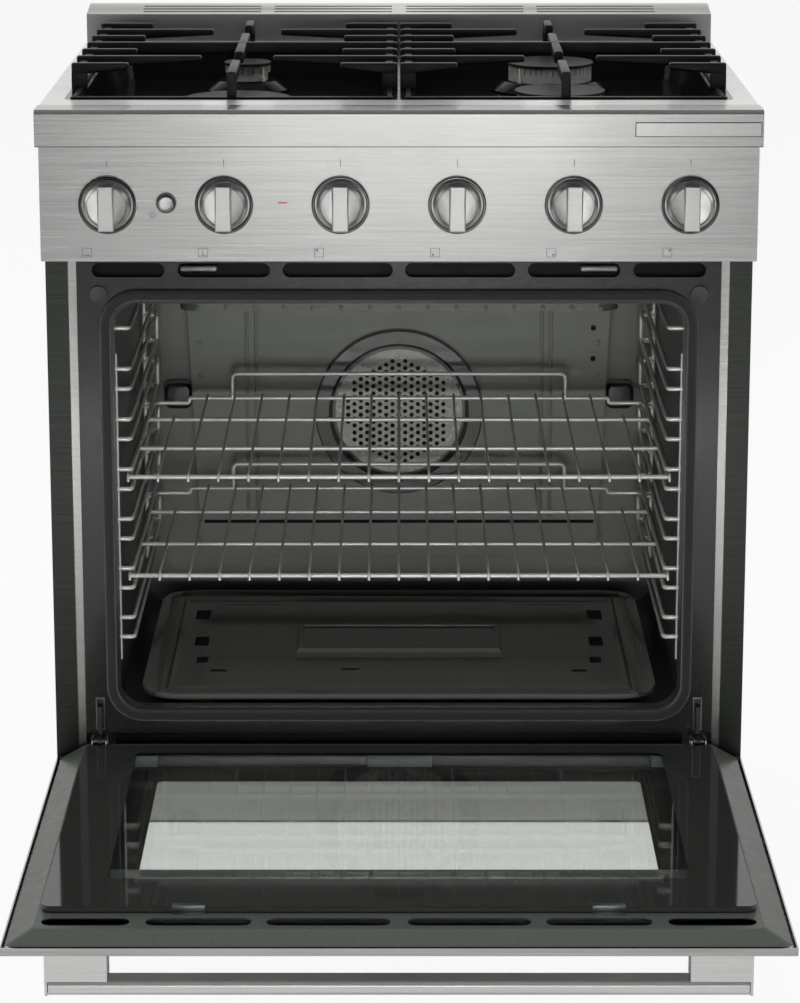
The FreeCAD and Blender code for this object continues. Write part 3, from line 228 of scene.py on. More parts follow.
# the same sheet with its hairlines upright
stainlessUpright = brushedSteel("brushed stainless steel, upright grain", "#c9c9c7", "#b9b9b7", 0.25, 520,
                                turn=(0, quarter, 0))
# matt, so that it mirrors no clear shapes
stainlessSoft = brushedSteel("bead-finished stainless steel", "#e6e6e4", "#dadad8", 0.42, 1300)
# painted light: a paler, less metallic copy of the stainless, so the kick plate stays light near the floor
kickSteelPaintedLight = brushedSteel("brushed stainless kick plate", "#ecece9", "#dededb", 0.4, 1300, metallic=0.6)
# painted shade: a darker copy of the stainless for the folded flange inside the gap
stainlessPaintedShade = brushedSteel("brushed steel in the side gap", "#4c4f4b", "#3c3f3b", 0.34, 750)
# bright glints at the hinge forks
polished = grainy("polished chrome plate", "#dcdcda", "#d0d0ce", 0.09, 900, metallic=1.0, bump=0.01)
# a dark ring that frames each knob
darkChrome = grainy("smoked chrome ring", "#6a6c69", "#565855", 0.14, 900, metallic=1.0, bump=0.02)
# satin face with an upright sheen
knobFace = brushedSteel("satin zinc die casting", "#dcdcda", "#d0d0ce", 0.33, 1400, anisotropic=0.4,
                        turn=(0, quarter, 0), long=20)
# grey-brown heated steel, also the painted shadow along the trim's hem
darkSteelAndShadowLine = grainy("heat-browned steel", "#6b6a67", "#55534f", 0.4, 900, metallic=1.0)
# near-black gloss round the oven mouth
blackEnamel = enamel("black porcelain enamel", "#2f322e", "#1b1d1a", 0.16, coat=0.3)
# dark satin that shows its pressings
floorEnamel = enamel("satin charcoal enamel", "#6c6f6b", "#61645f", 0.2, coat=0.6, metallic=0.2)
# flat charcoal inner door
doorEnamel = enamel("charcoal porcelain enamel", "#505450", "#484c48", 0.3, coat=0.0, level=0.22)
# deep black under the grates
panEnamel = enamel("deep black porcelain enamel", "#141514", "#0d0e0d", 0.16, coat=0.05, level=0.18)
# even mid grey oven walls
greyEnamel = enamel("grey pyrolytic enamel", "#6f726d", "#6a6d68", 0.34, coat=0.0, metallic=0.3)
# lighter grey that shows the drilled holes
paleEnamel = enamel("pale pyrolytic enamel", "#92958f", "#868984", 0.25, coat=0.3, metallic=0.3)
# darker grey for the fan ring and the broiler
darkEnamel = enamel("charcoal pyrolytic enamel", "#525551", "#464945", 0.2, coat=0.4, metallic=0.2)
# black with a fine rough skin
castIron = grainy("matt enamelled cast iron", "#1b1c1b", "#101110", 0.42, 1800, bump=0.35, level=0.45)
# blue-grey spangled sheet
galvanised = grainy("galvanised sheet steel", "#a9adae", "#8d9192", 0.38, 120, metallic=1.0, bump=0.05)
# bright wire against the dark oven
chromeWire = grainy("nickel-plated wire", "#f0f0ed", "#e2e2de", 0.2, 1500, metallic=0.55, bump=0.03)
# pale matt casting
burnerAluminium = grainy("blasted aluminium casting", "#e4e4e0", "#c6c6c2", 0.3, 2200, metallic=0.4)
# warm yellow valve bodies
brass = grainy("machined brass", "#c8a45c", "#a98746", 0.25, 900, metallic=1.0, bump=0.05)
# dull dark bumpers
softRubber = grainy("silicone rubber", "#3c3f3c", "#323532", 0.4, 1200, bump=0.05)
# cream glazed tip
ceramic = enamel("glazed alumina ceramic", "#e8e4da", "#d9d4c8", 0.2)
# knitted dark rope
gasketRope = wovenSleeve("knitted glass-fibre gasket")
# dull brown fibre
woolMat = grainy("mineral wool", "#6f6654", "#574f40", 0.95, 300, bump=0.6)
# plain black moulding
darkPlastic = grainy("moulded nylon", "#1c1d1e", "#141516", 0.5, 1200, bump=0.1)
# a small red line
redLens = enamel("red moulded lens", "#e8343a", "#d02229", 0.2)
# dark glossy lens
lampGlass = enamel("smoked lamp glass", "#2a2c2a", "#171817", 0.08, coat=0.8)
# thin grey marks
printInk = grainy("fired grey print", "#6d6f6d", "#616361", 0.5, 600, bump=0.02)
# clear pane with a wide black border
outerGlass = paneGlass("outer door glass", 260, -35, -304, 6)
# clear pane with a narrow black border
innerGlass = paneGlass("inner door glass", 285, -2, -375, 8)
# pale green-grey spacer seen through the glass
clipGlass = enamel("pale moulded spacer", "#aebbb4", "#93a19a", 0.35)
# painted shade: black for the unlit depth behind openings
paintedShadeBlack = enamel("black painted duct", "#0a0a0a", "#050505", 0.5, coat=0.0, level=0.3)
# a touch paler than the trim round it
plateSteel = brushedSteel("polished trim plate", "#d6d7d5", "#cacbc9", 0.25, 520)
# painted light: a paler, less metallic copy of the stainless for the handle
barSteelPaintedLight = brushedSteel("brushed handle steel", "#dfe0de", "#cfd0ce", 0.3, 520, metallic=0.75)
# painted light: a paler, less metallic copy of the stainless for the light frame round the black pan
deckSteelPaintedLight = brushedSteel("brushed deck steel", "#e6e7e5", "#d6d7d5", 0.28, 520, metallic=0.7)
# painted shade: a thin darker line along the trim
edgeSteelPaintedShade = brushedSteel("rolled steel edge", "#8c8e8b", "#7c7e7b", 0.42, 520, metallic=0.6)

finishOf = {
    "base_frame": galvanised, "rear_panel": galvanised, "kick_plate": kickSteelPaintedLight, "levelling_legs": stainless,
    "front_trim": stainless, "trim_plate": plateSteel, "control_panel": stainless, "back_guard": stainlessSoft,
    "front_frame": blackEnamel, "oven_liner": greyEnamel, "oven_insulation": woolMat, "oven_gasket": gasketRope,
    "rack_guides": chromeWire, "oven_floor_panel": floorEnamel, "bake_burner": darkSteelAndShadowLine, "broil_burner": darkEnamel,
    "fan_baffle": greyEnamel, "fan_wheel": burnerAluminium, "fan_motor": galvanised, "oven_lamps": lampGlass,
    "cooktop_deck": deckSteelPaintedLight, "burner_pan": panEnamel, "burner_bases": panEnamel, "burner_heads": burnerAluminium,
    "burner_caps": castIron, "igniters": ceramic, "gas_manifold": darkSteelAndShadowLine, "burner_valves": brass,
    "gas_tubes": burnerAluminium, "oven_switches": darkPlastic, "terminal_box": darkPlastic, "cover_screws": darkSteelAndShadowLine,
    "knob_bezels": darkChrome, "light_button": polished, "indicator_lens": redLens, "door_skin": stainless,
    "door_liner": doorEnamel, "door_glass_outer": outerGlass, "door_glass_inner": innerGlass, "glass_clips": galvanised,
    "door_hinges": galvanised, "hinge_receivers": darkSteelAndShadowLine, "handle_bar": barSteelPaintedLight, "handle_posts": barSteelPaintedLight,
    "side_panel_left": stainlessUpright, "side_panel_right": stainlessUpright,
    "grate_left": castIron, "grate_right": castIron,
    "rack_upper": chromeWire, "rack_lower": chromeWire,
}
for name, node in nodes.items():
    if name.startswith("knob_") and name != "knob_bezels":
        finishOf[name] = knobFace
    if name.startswith("valve_stem"):
        finishOf[name] = darkSteelAndShadowLine
    node.data.materials.clear()
    node.data.materials.append(finishOf[name])

# painted shade: the folded front flange of each side gets the darker steel, so it is darker than the strip beside the
# oven frame
for name in ("side_panel_left", "side_panel_right"):
    panel = nodes[name].data
    panel.materials.append(stainlessPaintedShade)
    for face in panel.polygons:
        if face.normal.y < -0.9 and abs(face.center.x) > 0.3535 and abs(face.center.x) < 0.3752:
            face.material_index = 1
print("materials on", len(nodes), "nodes")


# small helpers for modelling
def objectMode():
    bpy.ops.object.mode_set(mode="OBJECT")


def editMode():
    bpy.ops.object.mode_set(mode="EDIT")


def deselect():
    bpy.ops.object.select_all(action="DESELECT")


def only(piece):
    if bpy.context.object and bpy.context.object.mode != "OBJECT":
        objectMode()
    deselect()
    piece.select_set(True)
    bpy.context.view_layer.objects.active = piece


def settle(piece, name):
    only(piece)
    bpy.ops.object.transform_apply(location=True, rotation=True, scale=True)
    piece.name = name
    piece.data.name = name
    return piece


def blockAt(name, x, depth, z):
    low, high = inFrame(x[0], depth[0], z[0]), inFrame(x[1], depth[1], z[1])
    deselect()
    bpy.ops.mesh.primitive_cube_add(size=1, location=(low + high) / 2)
    piece = bpy.context.object
    piece.scale = high - low
    return settle(piece, name)


def drumAt(name, centre, radius, deep, axis="Z", sides=64):
    turn = {"X": (0, quarter, 0), "Y": (quarter, 0, 0), "Z": (0, 0, 0)}[axis]
    deselect()
    bpy.ops.mesh.primitive_cylinder_add(vertices=sides, radius=radius / 1000, depth=deep / 1000,
                                        location=inFrame(*centre), rotation=turn)
    return settle(bpy.context.object, name)


def pickFaces(piece, wanted):
    only(piece)
    editMode()
    bpy.ops.mesh.select_mode(type="FACE")
    bpy.ops.mesh.select_all(action="DESELECT")
    objectMode()
    for face in piece.data.polygons:
        face.select = wanted(face)
    editMode()


def upward(face):
    return face.normal.z > 0.9


def frontward(face):
    return face.normal.y < -0.9


def pushOut(amount, direction):
    bpy.ops.mesh.extrude_region_move(TRANSFORM_OT_translate={"value": Vector(direction) * amount / 1000})


def insetBy(width, lift=None):
    bpy.ops.mesh.inset(thickness=width)
    if lift:
        bpy.ops.transform.translate(value=lift)


def modify(piece, kind, **settings):
    only(piece)
    step = piece.modifiers.new(kind.title(), kind)
    for key, value in settings.items():
        setattr(step, key, value)
    bpy.ops.object.modifier_apply(modifier=step.name)


def soften(piece, width, segments=2, angle=30):
    modify(piece, "BEVEL", width=width / 1000, segments=segments, limit_method="ANGLE", angle_limit=math.radians(angle))


def cutOut(solids, tool):
    for solid in solids:
        modify(solid, "BOOLEAN", operation="DIFFERENCE", object=tool, solver="EXACT")
    bpy.data.objects.remove(tool)


def camel(name):
    return name.title().replace("_", "")


def joined(name, pieces):
    only(pieces[0])
    for piece in pieces[1:]:
        piece.select_set(True)
    bpy.ops.object.join()
    return settle(bpy.context.object, name)


def copied(piece, shift, name=None, mirror=False):
    only(piece)
    bpy.ops.object.duplicate()
    made = bpy.context.object
    if mirror:
        made.scale = (-1, 1, 1)
        settle(made, name or piece.name)
        editMode()
        bpy.ops.mesh.select_all(action="SELECT")
        bpy.ops.mesh.normals_make_consistent(inside=False)
        objectMode()
    made.location = Vector(shift) / 1000
    return settle(made, name or made.name)


def wires(name, runs, radius, sides=3):
    # each run is a list of points in mm; a rod follows it and is made a mesh
    line = bpy.data.curves.new(name, "CURVE")
    line.dimensions = "3D"
    line.bevel_depth = radius / 1000
    line.bevel_resolution = sides
    line.use_fill_caps = True
    for run in runs:
        spline = line.splines.new("POLY")
        spline.points.add(len(run) - 1)
        for point, spot in zip(spline.points, run):
            point.co = (*inFrame(*spot), 1)
    piece = bpy.data.objects.new(name, line)
    bpy.context.collection.objects.link(piece)
    only(piece)
    bpy.ops.object.convert(target="MESH")
    return settle(bpy.context.object, name)


def rounded(run, radius, steps=4):
    # the run with each corner bent on that radius
    bent = [Vector(run[0])]
    for before, corner, after in zip(run, run[1:], run[2:]):
        before, corner, after = Vector(before), Vector(corner), Vector(after)
        into, out = (before - corner).normalized(), (after - corner).normalized()
        reach = min(radius, (before - corner).length * 0.49, (after - corner).length * 0.49)
        start, end = corner + into * reach, corner + out * reach
        for step in range(steps + 1):
            share = step / steps
            bent.append(start * (1 - share) ** 2 + corner * 2 * share * (1 - share) + end * share ** 2)
    return bent + [Vector(run[-1])]


def finishPiece(piece, body, material, stands=(), smooth=35):
    only(piece)
    bpy.ops.object.shade_smooth_by_angle(angle=math.radians(smooth))
    piece.data.materials.clear()
    piece.data.materials.append(material)
    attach(piece, body)
    if stands:
        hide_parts(*stands)
    return piece


def softCopy(node, name, body, material, width, segments=2):
    # the node's own shape, merged and with its sharp edges broken
    piece = nodes[node].copy()
    piece.data = nodes[node].data.copy()
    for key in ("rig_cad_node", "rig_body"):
        if key in piece:
            del piece[key]
    piece.parent = None
    bpy.context.collection.objects.link(piece)
    only(piece)
    editMode()
    bpy.ops.mesh.select_all(action="SELECT")
    bpy.ops.mesh.remove_doubles(threshold=0.000005)
    bpy.ops.mesh.dissolve_limited(angle_limit=math.radians(1))
    objectMode()
    settle(piece, name)
    soften(piece, width, segments)
    finishPiece(piece, body, material, (node,))
    modify(piece, "WEIGHTED_NORMAL", weight=100, keep_sharp=True)
    return piece


root = "range_body"

# grates
grateSizes = {"top": 943, "foot": 914.3, "outer": 355, "inner": 1.4, "wide": 10, "rootDeep": 13.5, "tipDeep": 7,
              "firstRow": 161, "pitch": 61.9, "middle": 178, "longTip": 39.5, "short": 62, "footWide": 17, "tie": 1.6,
              "round": 2.2}


def taperedBar(x, depth, tip, name="bar"):
    # a cast bar that thins underneath towards its tip; tip is "+x", "-x", "both" or ""
    g = grateSizes
    bar = blockAt(name, x, depth, (g["top"] - g["rootDeep"], g["top"]))
    for sign in (-1, 1):
        if ("+" if sign > 0 else "-") + "x" == tip or tip == "both":
            pickFaces(bar, lambda face: face.normal.x * sign > 0.9)
            objectMode()
            for vertex in bar.data.vertices:
                if vertex.select and vertex.co.z < (g["top"] - 5) / 1000:
                    vertex.co.z = (g["top"] - g["tipDeep"]) / 1000
    return bar


def footUnder(x, depth):
    g = grateSizes
    return blockAt("foot", x, depth, (g["foot"], g["top"] - g["rootDeep"] + 3))


def makeGrate(side):
    g = grateSizes
    half = g["wide"] / 2
    bars = []

    def spanX(a, b):
        return (a, b) if side > 0 else (-b, -a)

    out, back = ("+x", "-x") if side > 0 else ("-x", "+x")
    for row in range(7):
        depth = g["firstRow"] + g["pitch"] * row
        across = (depth - half, depth + half)
        if row == 3:
            bars.append(taperedBar(spanX(g["inner"], g["outer"]), across, ""))
        elif row in (1, 5):
            bars.append(taperedBar(spanX(g["inner"], g["middle"] - g["longTip"]), across, out))
            bars.append(taperedBar(spanX(g["middle"] + g["longTip"], g["outer"]), across, back))
        else:
            bars.append(taperedBar(spanX(g["inner"], g["inner"] + g["short"]), across, out))
            bars.append(taperedBar(spanX(g["outer"] - g["short"], g["outer"]), across, back))
        if row in (0, 6):
            bars.append(footUnder(spanX(g["inner"], g["inner"] + g["footWide"]), across))
            bars.append(footUnder(spanX(g["outer"] - g["footWide"], g["outer"]), across))
    middle = (side * g["middle"] - half, side * g["middle"] + half)
    for near, far in ((84, 187), (258, 433), (508, 565)):
        bars.append(blockAt("finger", middle, (near, far), (g["top"] - g["rootDeep"], g["top"])))
    for near, far in ((84, 94), (555, 565)):
        bars.append(footUnder(middle, (near, far)))
        bars.append(blockAt("tie", spanX(g["inner"] + 5, g["outer"] - 5), (near + 1, far - 1),
                            (g["foot"], g["foot"] + g["tie"])))
    for start in (g["inner"] + 5, g["outer"] - 13):
        bars.append(blockAt("rail", spanX(start, start + 8), (g["firstRow"], g["firstRow"] + 6 * g["pitch"]),
                            (g["top"] - 15, g["top"] - 4.5)))
        bars.append(blockAt("tie", spanX(start + 1, start + 6), (86, 563), (g["foot"], g["foot"] + g["tie"])))
    for bar in bars:
        soften(bar, g["round"] if bar.name.startswith(("bar", "finger")) else 0.7, 3)
    label = "right" if side > 0 else "left"
    grate = joined("grateCasting" + label.title(), bars)
    return finishPiece(grate, "grate_" + label, castIron, ("grate_" + label,), smooth=40)


for side in (-1, 1):
    makeGrate(side)
print("grates cast")

# burners
burners = [(-178, 226, 52, 60, 896), (178, 226, 47, 50, 905), (-178, 472, 23.5, 27.5, 905), (178, 472, 48.8, 51, 905)]
headLow, capThick = 883.5, 3.6
headPieces, capPieces = [], []
for x, depth, head, cap, top in burners:
    seat = top - capThick
    ring = drumAt("flameRing", (x, depth, (headLow + seat) / 2), head, seat - headLow, sides=96)
    pickFaces(ring, lambda face: face.normal.z < -0.9)       # a narrow rim underneath
    insetBy(0.0005)
    objectMode()
    ports = 24 if head < 30 else 44
    pickFaces(ring, lambda face: abs(face.normal.z) < 0.1)
    bpy.ops.mesh.subdivide(number_cuts=1)
    objectMode()
    upper = (headLow + seat) / 2 / 1000
    pickFaces(ring, lambda face: abs(face.normal.z) < 0.1 and face.center.z > upper)
    bpy.ops.mesh.inset(thickness=0.0004, use_individual=True)
    objectMode()
    for face in ring.data.polygons:
        if face.select:
            angle = math.atan2(face.center.y - inFrame(0, depth, 0).y, face.center.x - x / 1000)
            face.select = (angle / (2 * math.pi) * ports) % 1 < 0.5 and abs(face.normal.z) < 0.1
    editMode()
    bpy.ops.mesh.extrude_faces_move(TRANSFORM_OT_shrink_fatten={"value": -0.003})
    objectMode()
    headPieces.append(ring)
    lid = drumAt("lid", (x, depth, top - capThick / 2), cap, capThick, sides=96)
    pickFaces(lid, upward)
    insetBy(0.0045, (0, 0, -0.0007))
    insetBy(0.003, (0, 0, -0.0003))
    objectMode()
    soften(lid, 1.1, 3, 25)
    capPieces.append(lid)
finishPiece(joined("burnerFlameRings", headPieces), root, burnerAluminium, ("burner_heads",), 30)
finishPiece(joined("burnerLids", capPieces), root, castIron, ("burner_caps",), smooth=30)

cones = [(-178, 226, 70, 57), (178, 226, 70, 56.5), (-178, 472, 50, 34), (178, 472, 70, 56.5)]
conePieces = []
for x, depth, wide, narrow in cones:
    deselect()
    bpy.ops.mesh.primitive_cone_add(vertices=96, radius1=wide / 1000, radius2=narrow / 1000, depth=0.0105,
                                    location=inFrame(x, depth, 878.25))
    cone = settle(bpy.context.object, "cone")
    pickFaces(cone, upward)
    insetBy(0.003, (0, 0, -0.0006))
    objectMode()
    soften(cone, 0.8, 3, 25)
    cup = drumAt("cup", (x, depth, 850), 20, 44, sides=48)
    soften(cup, 1, 2)
    conePieces += [cone, cup]
finishPiece(joined("burnerCones", conePieces), root, panEnamel, ("burner_bases",), smooth=35)
print("burners placed")

# knobs
knobSizes = {"z": 813, "pitch": 122.2, "skirt": 25.2, "face": 21.6, "back": 4.5, "shoulder": -2.5, "front": -8.2,
             "bar": 8.3, "barFront": -20, "barReach": 24}
knobNames = ("oven_mode", "oven_heat", "rear_left", "front_left", "front_right", "rear_right")
k = knobSizes
skirt = drumAt("skirt", (0, (k["back"] + k["shoulder"]) / 2, k["z"]), k["skirt"], k["back"] - k["shoulder"], "Y", 96)
pickFaces(skirt, frontward)
pushOut(k["shoulder"] - k["front"], (0, -1, 0))
centre = inFrame(0, 0, k["z"])
share = k["face"] / k["skirt"]
bpy.ops.transform.resize(value=(share, 1, share), center_override=(0, 0, centre.z))
insetBy(0.0012, (0, 0.0009, 0))      # the face lies a little inside its rim
insetBy(0.012, (0, 0.0007, 0))
objectMode()
soften(skirt, 0.5, 2, 20)
grip = blockAt("grip", (-k["bar"], k["bar"]), (k["barFront"], k["front"] + 4),
               (k["z"] - k["barReach"], k["z"] + k["barReach"]))
pickFaces(grip, lambda face: face.normal.y > 0.9)
bpy.ops.transform.resize(value=(1.06, 1, 1), center_override=(0, 0, centre.z))
objectMode()
pickFaces(grip, frontward)
insetBy(0.0012, (0, -0.0003, 0))
objectMode()
modify(grip, "BEVEL", width=0.0016, segments=3, limit_method="ANGLE", angle_limit=math.radians(40))
hub = drumAt("hub", (0, k["back"] + 1.4, k["z"]), 9, 3, "Y", 48)
bore = drumAt("bore", (0, -0.25, k["z"]), 4.15, 18.5, "Y", 48)       # a D-shaped hole for the valve stem
for vertex in bore.data.vertices:
    vertex.co.z = min(vertex.co.z, (k["z"] + 2.65) / 1000)
cutOut([skirt, grip, hub], bore)
model = joined("knobModel", [skirt, grip, hub])
for order, name in enumerate(knobNames):
    across = k["pitch"] * (order - 2.5)
    knob = copied(model, (across, 0, 0), "knobTurned" + camel(name))
    finishPiece(knob, "knob_" + name, knobFace, ("knob_" + name,), smooth=28)
    if order < 2:
        spindle = drumAt("knobSpindle" + camel(name), (across, 26, k["z"]), 4, 44, "Y", 32)
        soften(spindle, 0.5)
        finishPiece(spindle, "knob_" + name, darkSteelAndShadowLine)
bpy.data.objects.remove(model)
softCopy("knob_bezels", "knobRings", root, darkChrome, 0.3)

# the light button: a turned disc in a smoked ring, with a lamp sign beside it
buttonSizes = {"x": -244, "z": 815, "radius": 8.1, "signX": -259, "signZ": 802}
u = buttonSizes
button = drumAt("buttonDisc", (u["x"], 5.5, u["z"]), u["radius"], 9, "Y", 64)
pickFaces(button, frontward)
insetBy(0.0008, (0, -0.0005, 0))
insetBy(0.0009, (0, 0.0006, 0))
objectMode()
soften(button, 0.25, 2, 20)
stalk = drumAt("buttonStalk", (u["x"], 19.5, u["z"]), 3, 20, "Y", 32)
soften(stalk, 0.4)
finishPiece(joined("lightButtonDisc", [button, stalk]), "light_button", knobFace, ("light_button",), 28)
deselect()
bpy.ops.mesh.primitive_torus_add(major_radius=0.0098, minor_radius=0.0009, major_segments=64, minor_segments=12,
                                 location=inFrame(u["x"], 8.9, u["z"]), rotation=(quarter, 0, 0))
finishPiece(settle(bpy.context.object, "lightButtonRing"), root, darkChrome)
print("knobs turned")

# printed marks on the control panel
printSizes = {"front": 8.93, "thick": 0.16, "line": 0.55, "pointer": (853, 861), "aside": 23, "z": 762, "half": 5}
p = printSizes


def mark(x, z):
    return blockAt("mark", x, (p["front"], p["front"] + p["thick"]), z)


def squareSign(x, z, half):
    line = p["line"]
    left, right, low, high = x - half, x + half, z - half, z + half
    return [mark((left, right), (high - line, high)), mark((left, right), (low, low + line)),
            mark((left, left + line), (low, high)), mark((right - line, right), (low, high))]


marks = []
signAt = {2: (-2.3, 2.3), 3: (-2.3, -2.3), 4: (2.3, -2.3), 5: (2.3, 2.3)}      # the dot says which burner
for order in range(6):
    middle = k["pitch"] * (order - 2.5)
    marks.append(mark((middle - 0.35, middle + 0.35), p["pointer"]))
    left = middle - p["aside"]
    marks += squareSign(left, p["z"], p["half"])
    if order in signAt:
        dotX, dotZ = signAt[order]
        marks.append(mark((left + dotX - 1, left + dotX + 1), (p["z"] + dotZ - 1, p["z"] + dotZ + 1)))
    elif order == 0:
        marks.append(mark((left - 3, left + 3), (758.6, 759.3)))
    else:
        marks.append(mark((left - 0.3, left + 0.3), (758.5, 765.5)))
        marks.append(mark((left - 1.4, left + 1.4), (758.5, 759.8)))
rays = []
deselect()
bpy.ops.mesh.primitive_torus_add(major_radius=0.0022, minor_radius=0.0003, major_segments=24, minor_segments=6,
                                 location=inFrame(u["signX"], 8.95, u["signZ"]), rotation=(quarter, 0, 0))
rays.append(settle(bpy.context.object, "lampSign"))
for step in range(8):
    angle = math.radians(45 * step)
    ends = [(u["signX"] + reach * math.cos(angle), 8.95, u["signZ"] + reach * math.sin(angle)) for reach in (3.4, 5.2)]
    rays.append(wires("ray", [ends], 0.25, 1))
finishPiece(joined("panelMarks", marks + rays), root, printInk)
print("marks printed")

# racks
rackSizes = {"half": 295, "front": 80, "back": 461, "pitch": 32.8, "thick": 2.6, "thin": 1.6, "gallery": 200,
             "rise": 30, "step": 243, "bars": (210, 350)}


def makeRack(name, z):
    r = rackSizes
    lift = r["thick"] + r["thin"] - 0.4
    frameRuns = []
    for side in (-1, 1):
        x = side * r["half"]
        frameRuns.append(rounded([(x, r["back"] - 30, z - 4), (x, r["front"] + 14, z - 4), (x, r["front"] + 6, z - 2),
                                  (x - side * 5, r["front"], z)], 5))
    thickRuns = [[(-r["half"], r["front"], z), (r["half"], r["front"], z)]]
    for depth in r["bars"]:
        thickRuns.append([(-r["half"], depth, z), (r["half"], depth, z)])
    for side in (-1, 1):       # the rear corners step down to rest on the guides
        x = side * r["half"]
        frameRuns.append(rounded([(side * r["step"], r["back"], z), (side * (r["step"] + 9), r["back"], z),
                                  (side * (r["step"] + 9), r["back"], z - 6), (x - side * 3, r["back"], z - 6),
                                  (x, r["back"] - 12, z - 5), (x, r["back"] - 34, z - 4)], 5))
    thickRuns.append([(-244, r["back"], z), (244, r["back"], z)])
    thickRuns.append(rounded([(-r["gallery"], r["back"], z - 2), (-r["gallery"], r["back"], z + r["rise"]),
                              (r["gallery"], r["back"], z + r["rise"]), (r["gallery"], r["back"], z - 2)], 7))
    thinRuns = []
    for index in range(-9, 10):
        x = r["pitch"] * index
        tail = r["back"] + 2 if abs(x) < r["step"] else r["bars"][1] + 2
        thinRuns.append(rounded([(x, tail, z + lift), (x, r["front"] + 1, z + lift),
                                 (x, r["front"] - 4.4, z + lift - 1), (x, r["front"] - 4.6, z - 4)], 3.5))
    parts = [wires("rackFrame", frameRuns + thickRuns, r["thick"]), wires("rackFine", thinRuns, r["thin"])]
    rack = joined("wire" + camel(name), parts)
    return finishPiece(rack, name, chromeWire, (name,), smooth=60)


levelTop, levelPitch, pairGap = 623, 55.9, 22.2
for name, level in (("rack_upper", 2), ("rack_lower", 4)):
    makeRack(name, levelTop - levelPitch * level - pairGap + 11)

# rack guides: two ladders, each runner bent out to the post in front and to its neighbour behind
guideSizes = {"outer": 306.4, "inner": 291, "front": 70, "back": 480, "top": 668, "bend": 5, "radius": 2.5}
g = guideSizes
behind = g["back"] - 3
for side in (-1, 1):
    outer, inner = side * g["outer"], side * g["inner"]
    runs = [[(outer, g["front"], 296), (outer, g["front"], 640)], [(outer, g["back"], 296), (outer, g["back"], 640)]]
    for level in range(6):
        top = levelTop - levelPitch * level
        low = top - pairGap
        after = top - levelPitch
        for z in (top, low):
            runs.append(rounded([(outer, g["front"], z), (inner, g["front"], z), (inner, g["back"], z),
                                 (outer, g["back"], z)], g["bend"]))
        if level < 5:
            runs.append(rounded([(outer, behind, low - 4), (inner, behind, low - 1), (inner, behind, after + 1),
                                 (outer, behind, after + 4)], g["bend"]))
    runs.append(rounded([(outer, behind, levelTop + 6), (inner, behind, levelTop + 4), (inner, behind, g["top"]),
                         (outer, behind, g["top"] + 4)], g["bend"]))
    runs.append(rounded([(outer, g["front"], g["top"]), (inner, g["front"], g["top"]), (inner, behind, g["top"])],
                        g["bend"]))
    label = "Left" if side < 0 else "Right"
    ladder = wires("rackLadder" + label, runs, g["radius"])
    finishPiece(ladder, root, chromeWire, ("rack_guides",) if side < 0 else (), smooth=60)
print("racks and guides bent")

# fan baffle: a tapering plate with a stepped ring and a perforated disc
baffleSizes = {"z": 475, "front": 500, "ring": 101, "disc": 74, "holeRadius": 2.75, "pitch": 8.9,
               "column": 7.7077, "field": 65}
b = baffleSizes
plate = blockAt("plate", (-260, 260), (b["front"], b["front"] + 1.5), (292, 690))
for vertex in plate.data.vertices:
    if vertex.co.z < 0.4:
        vertex.co.x *= 242 / 260
opening = drumAt("opening", (0, b["front"], b["z"]), 84, 30, "Y", 96)
cutOut([plate], opening)
ring = drumAt("ring", (0, 497, b["z"]), b["ring"], 7, "Y", 128)
pickFaces(ring, frontward)
insetBy(0.0015, (0, -0.001, 0))
insetBy(0.014, (0, -0.0004, 0))
insetBy(0.001, (0, 0.005, 0))
insetBy(0.0018, (0, -0.002, 0))
insetBy(0.0018, (0, 0.005, 0))
insetBy(0.006)
bpy.ops.mesh.delete(type="FACE")
objectMode()
pickFaces(ring, lambda face: face.normal.y > 0.9)
bpy.ops.mesh.delete(type="FACE")
objectMode()
modify(ring, "SOLIDIFY", thickness=0.0009, offset=1)
disc = drumAt("disc", (0, 498.6, b["z"]), b["disc"] + 3, 1, "Y", 128)
drill = drumAt("drill", (-7 * b["column"], 498.6, b["z"] - 8 * b["pitch"]), b["holeRadius"], 12, "Y", 12)
for count, step in ((17, (0, 0, b["pitch"] / 1000)), (8, (2 * b["column"] / 1000, 0, 0))):
    modify(drill, "ARRAY", count=count, use_relative_offset=False, use_constant_offset=True,
           constant_offset_displace=step)
other = copied(drill, (-b["column"], 0, b["pitch"] / 2), "otherDrill")
drills = joined("drills", [drill, other])
pickFaces(drills, lambda face: True)
bpy.ops.mesh.separate(type="LOOSE")
objectMode()
loose = [o for o in bpy.context.selected_objects if o.type == "MESH"]
kept = []
for pin in loose:
    middle = sum((v.co for v in pin.data.vertices), Vector()) / len(pin.data.vertices)
    if math.hypot(middle.x, middle.z - b["z"] / 1000) < b["field"] / 1000:
        kept.append(pin)
    else:
        bpy.data.objects.remove(pin)
drills = joined("drills", kept)
cutOut([disc], drills)
screws = []
for x, z in ((241, 560), (240, 520), (-241, 560), (-240, 520), (-225, 310), (225, 310)):
    head = drumAt("screw", (x, 499.2, z), 3.2, 1.6, "Y", 24)
    soften(head, 0.5, 2)
    screws.append(head)
soften(plate, 0.5, 1)
for side in (-1, 1):       # upright stiffening ribs either side of the fan
    for x in (173, 184):
        rib = blockAt("rib", (side * x - 2, side * x + 2), (498.9, 501), (342, 688))
        soften(rib, 1.1, 3)
        screws.append(rib)
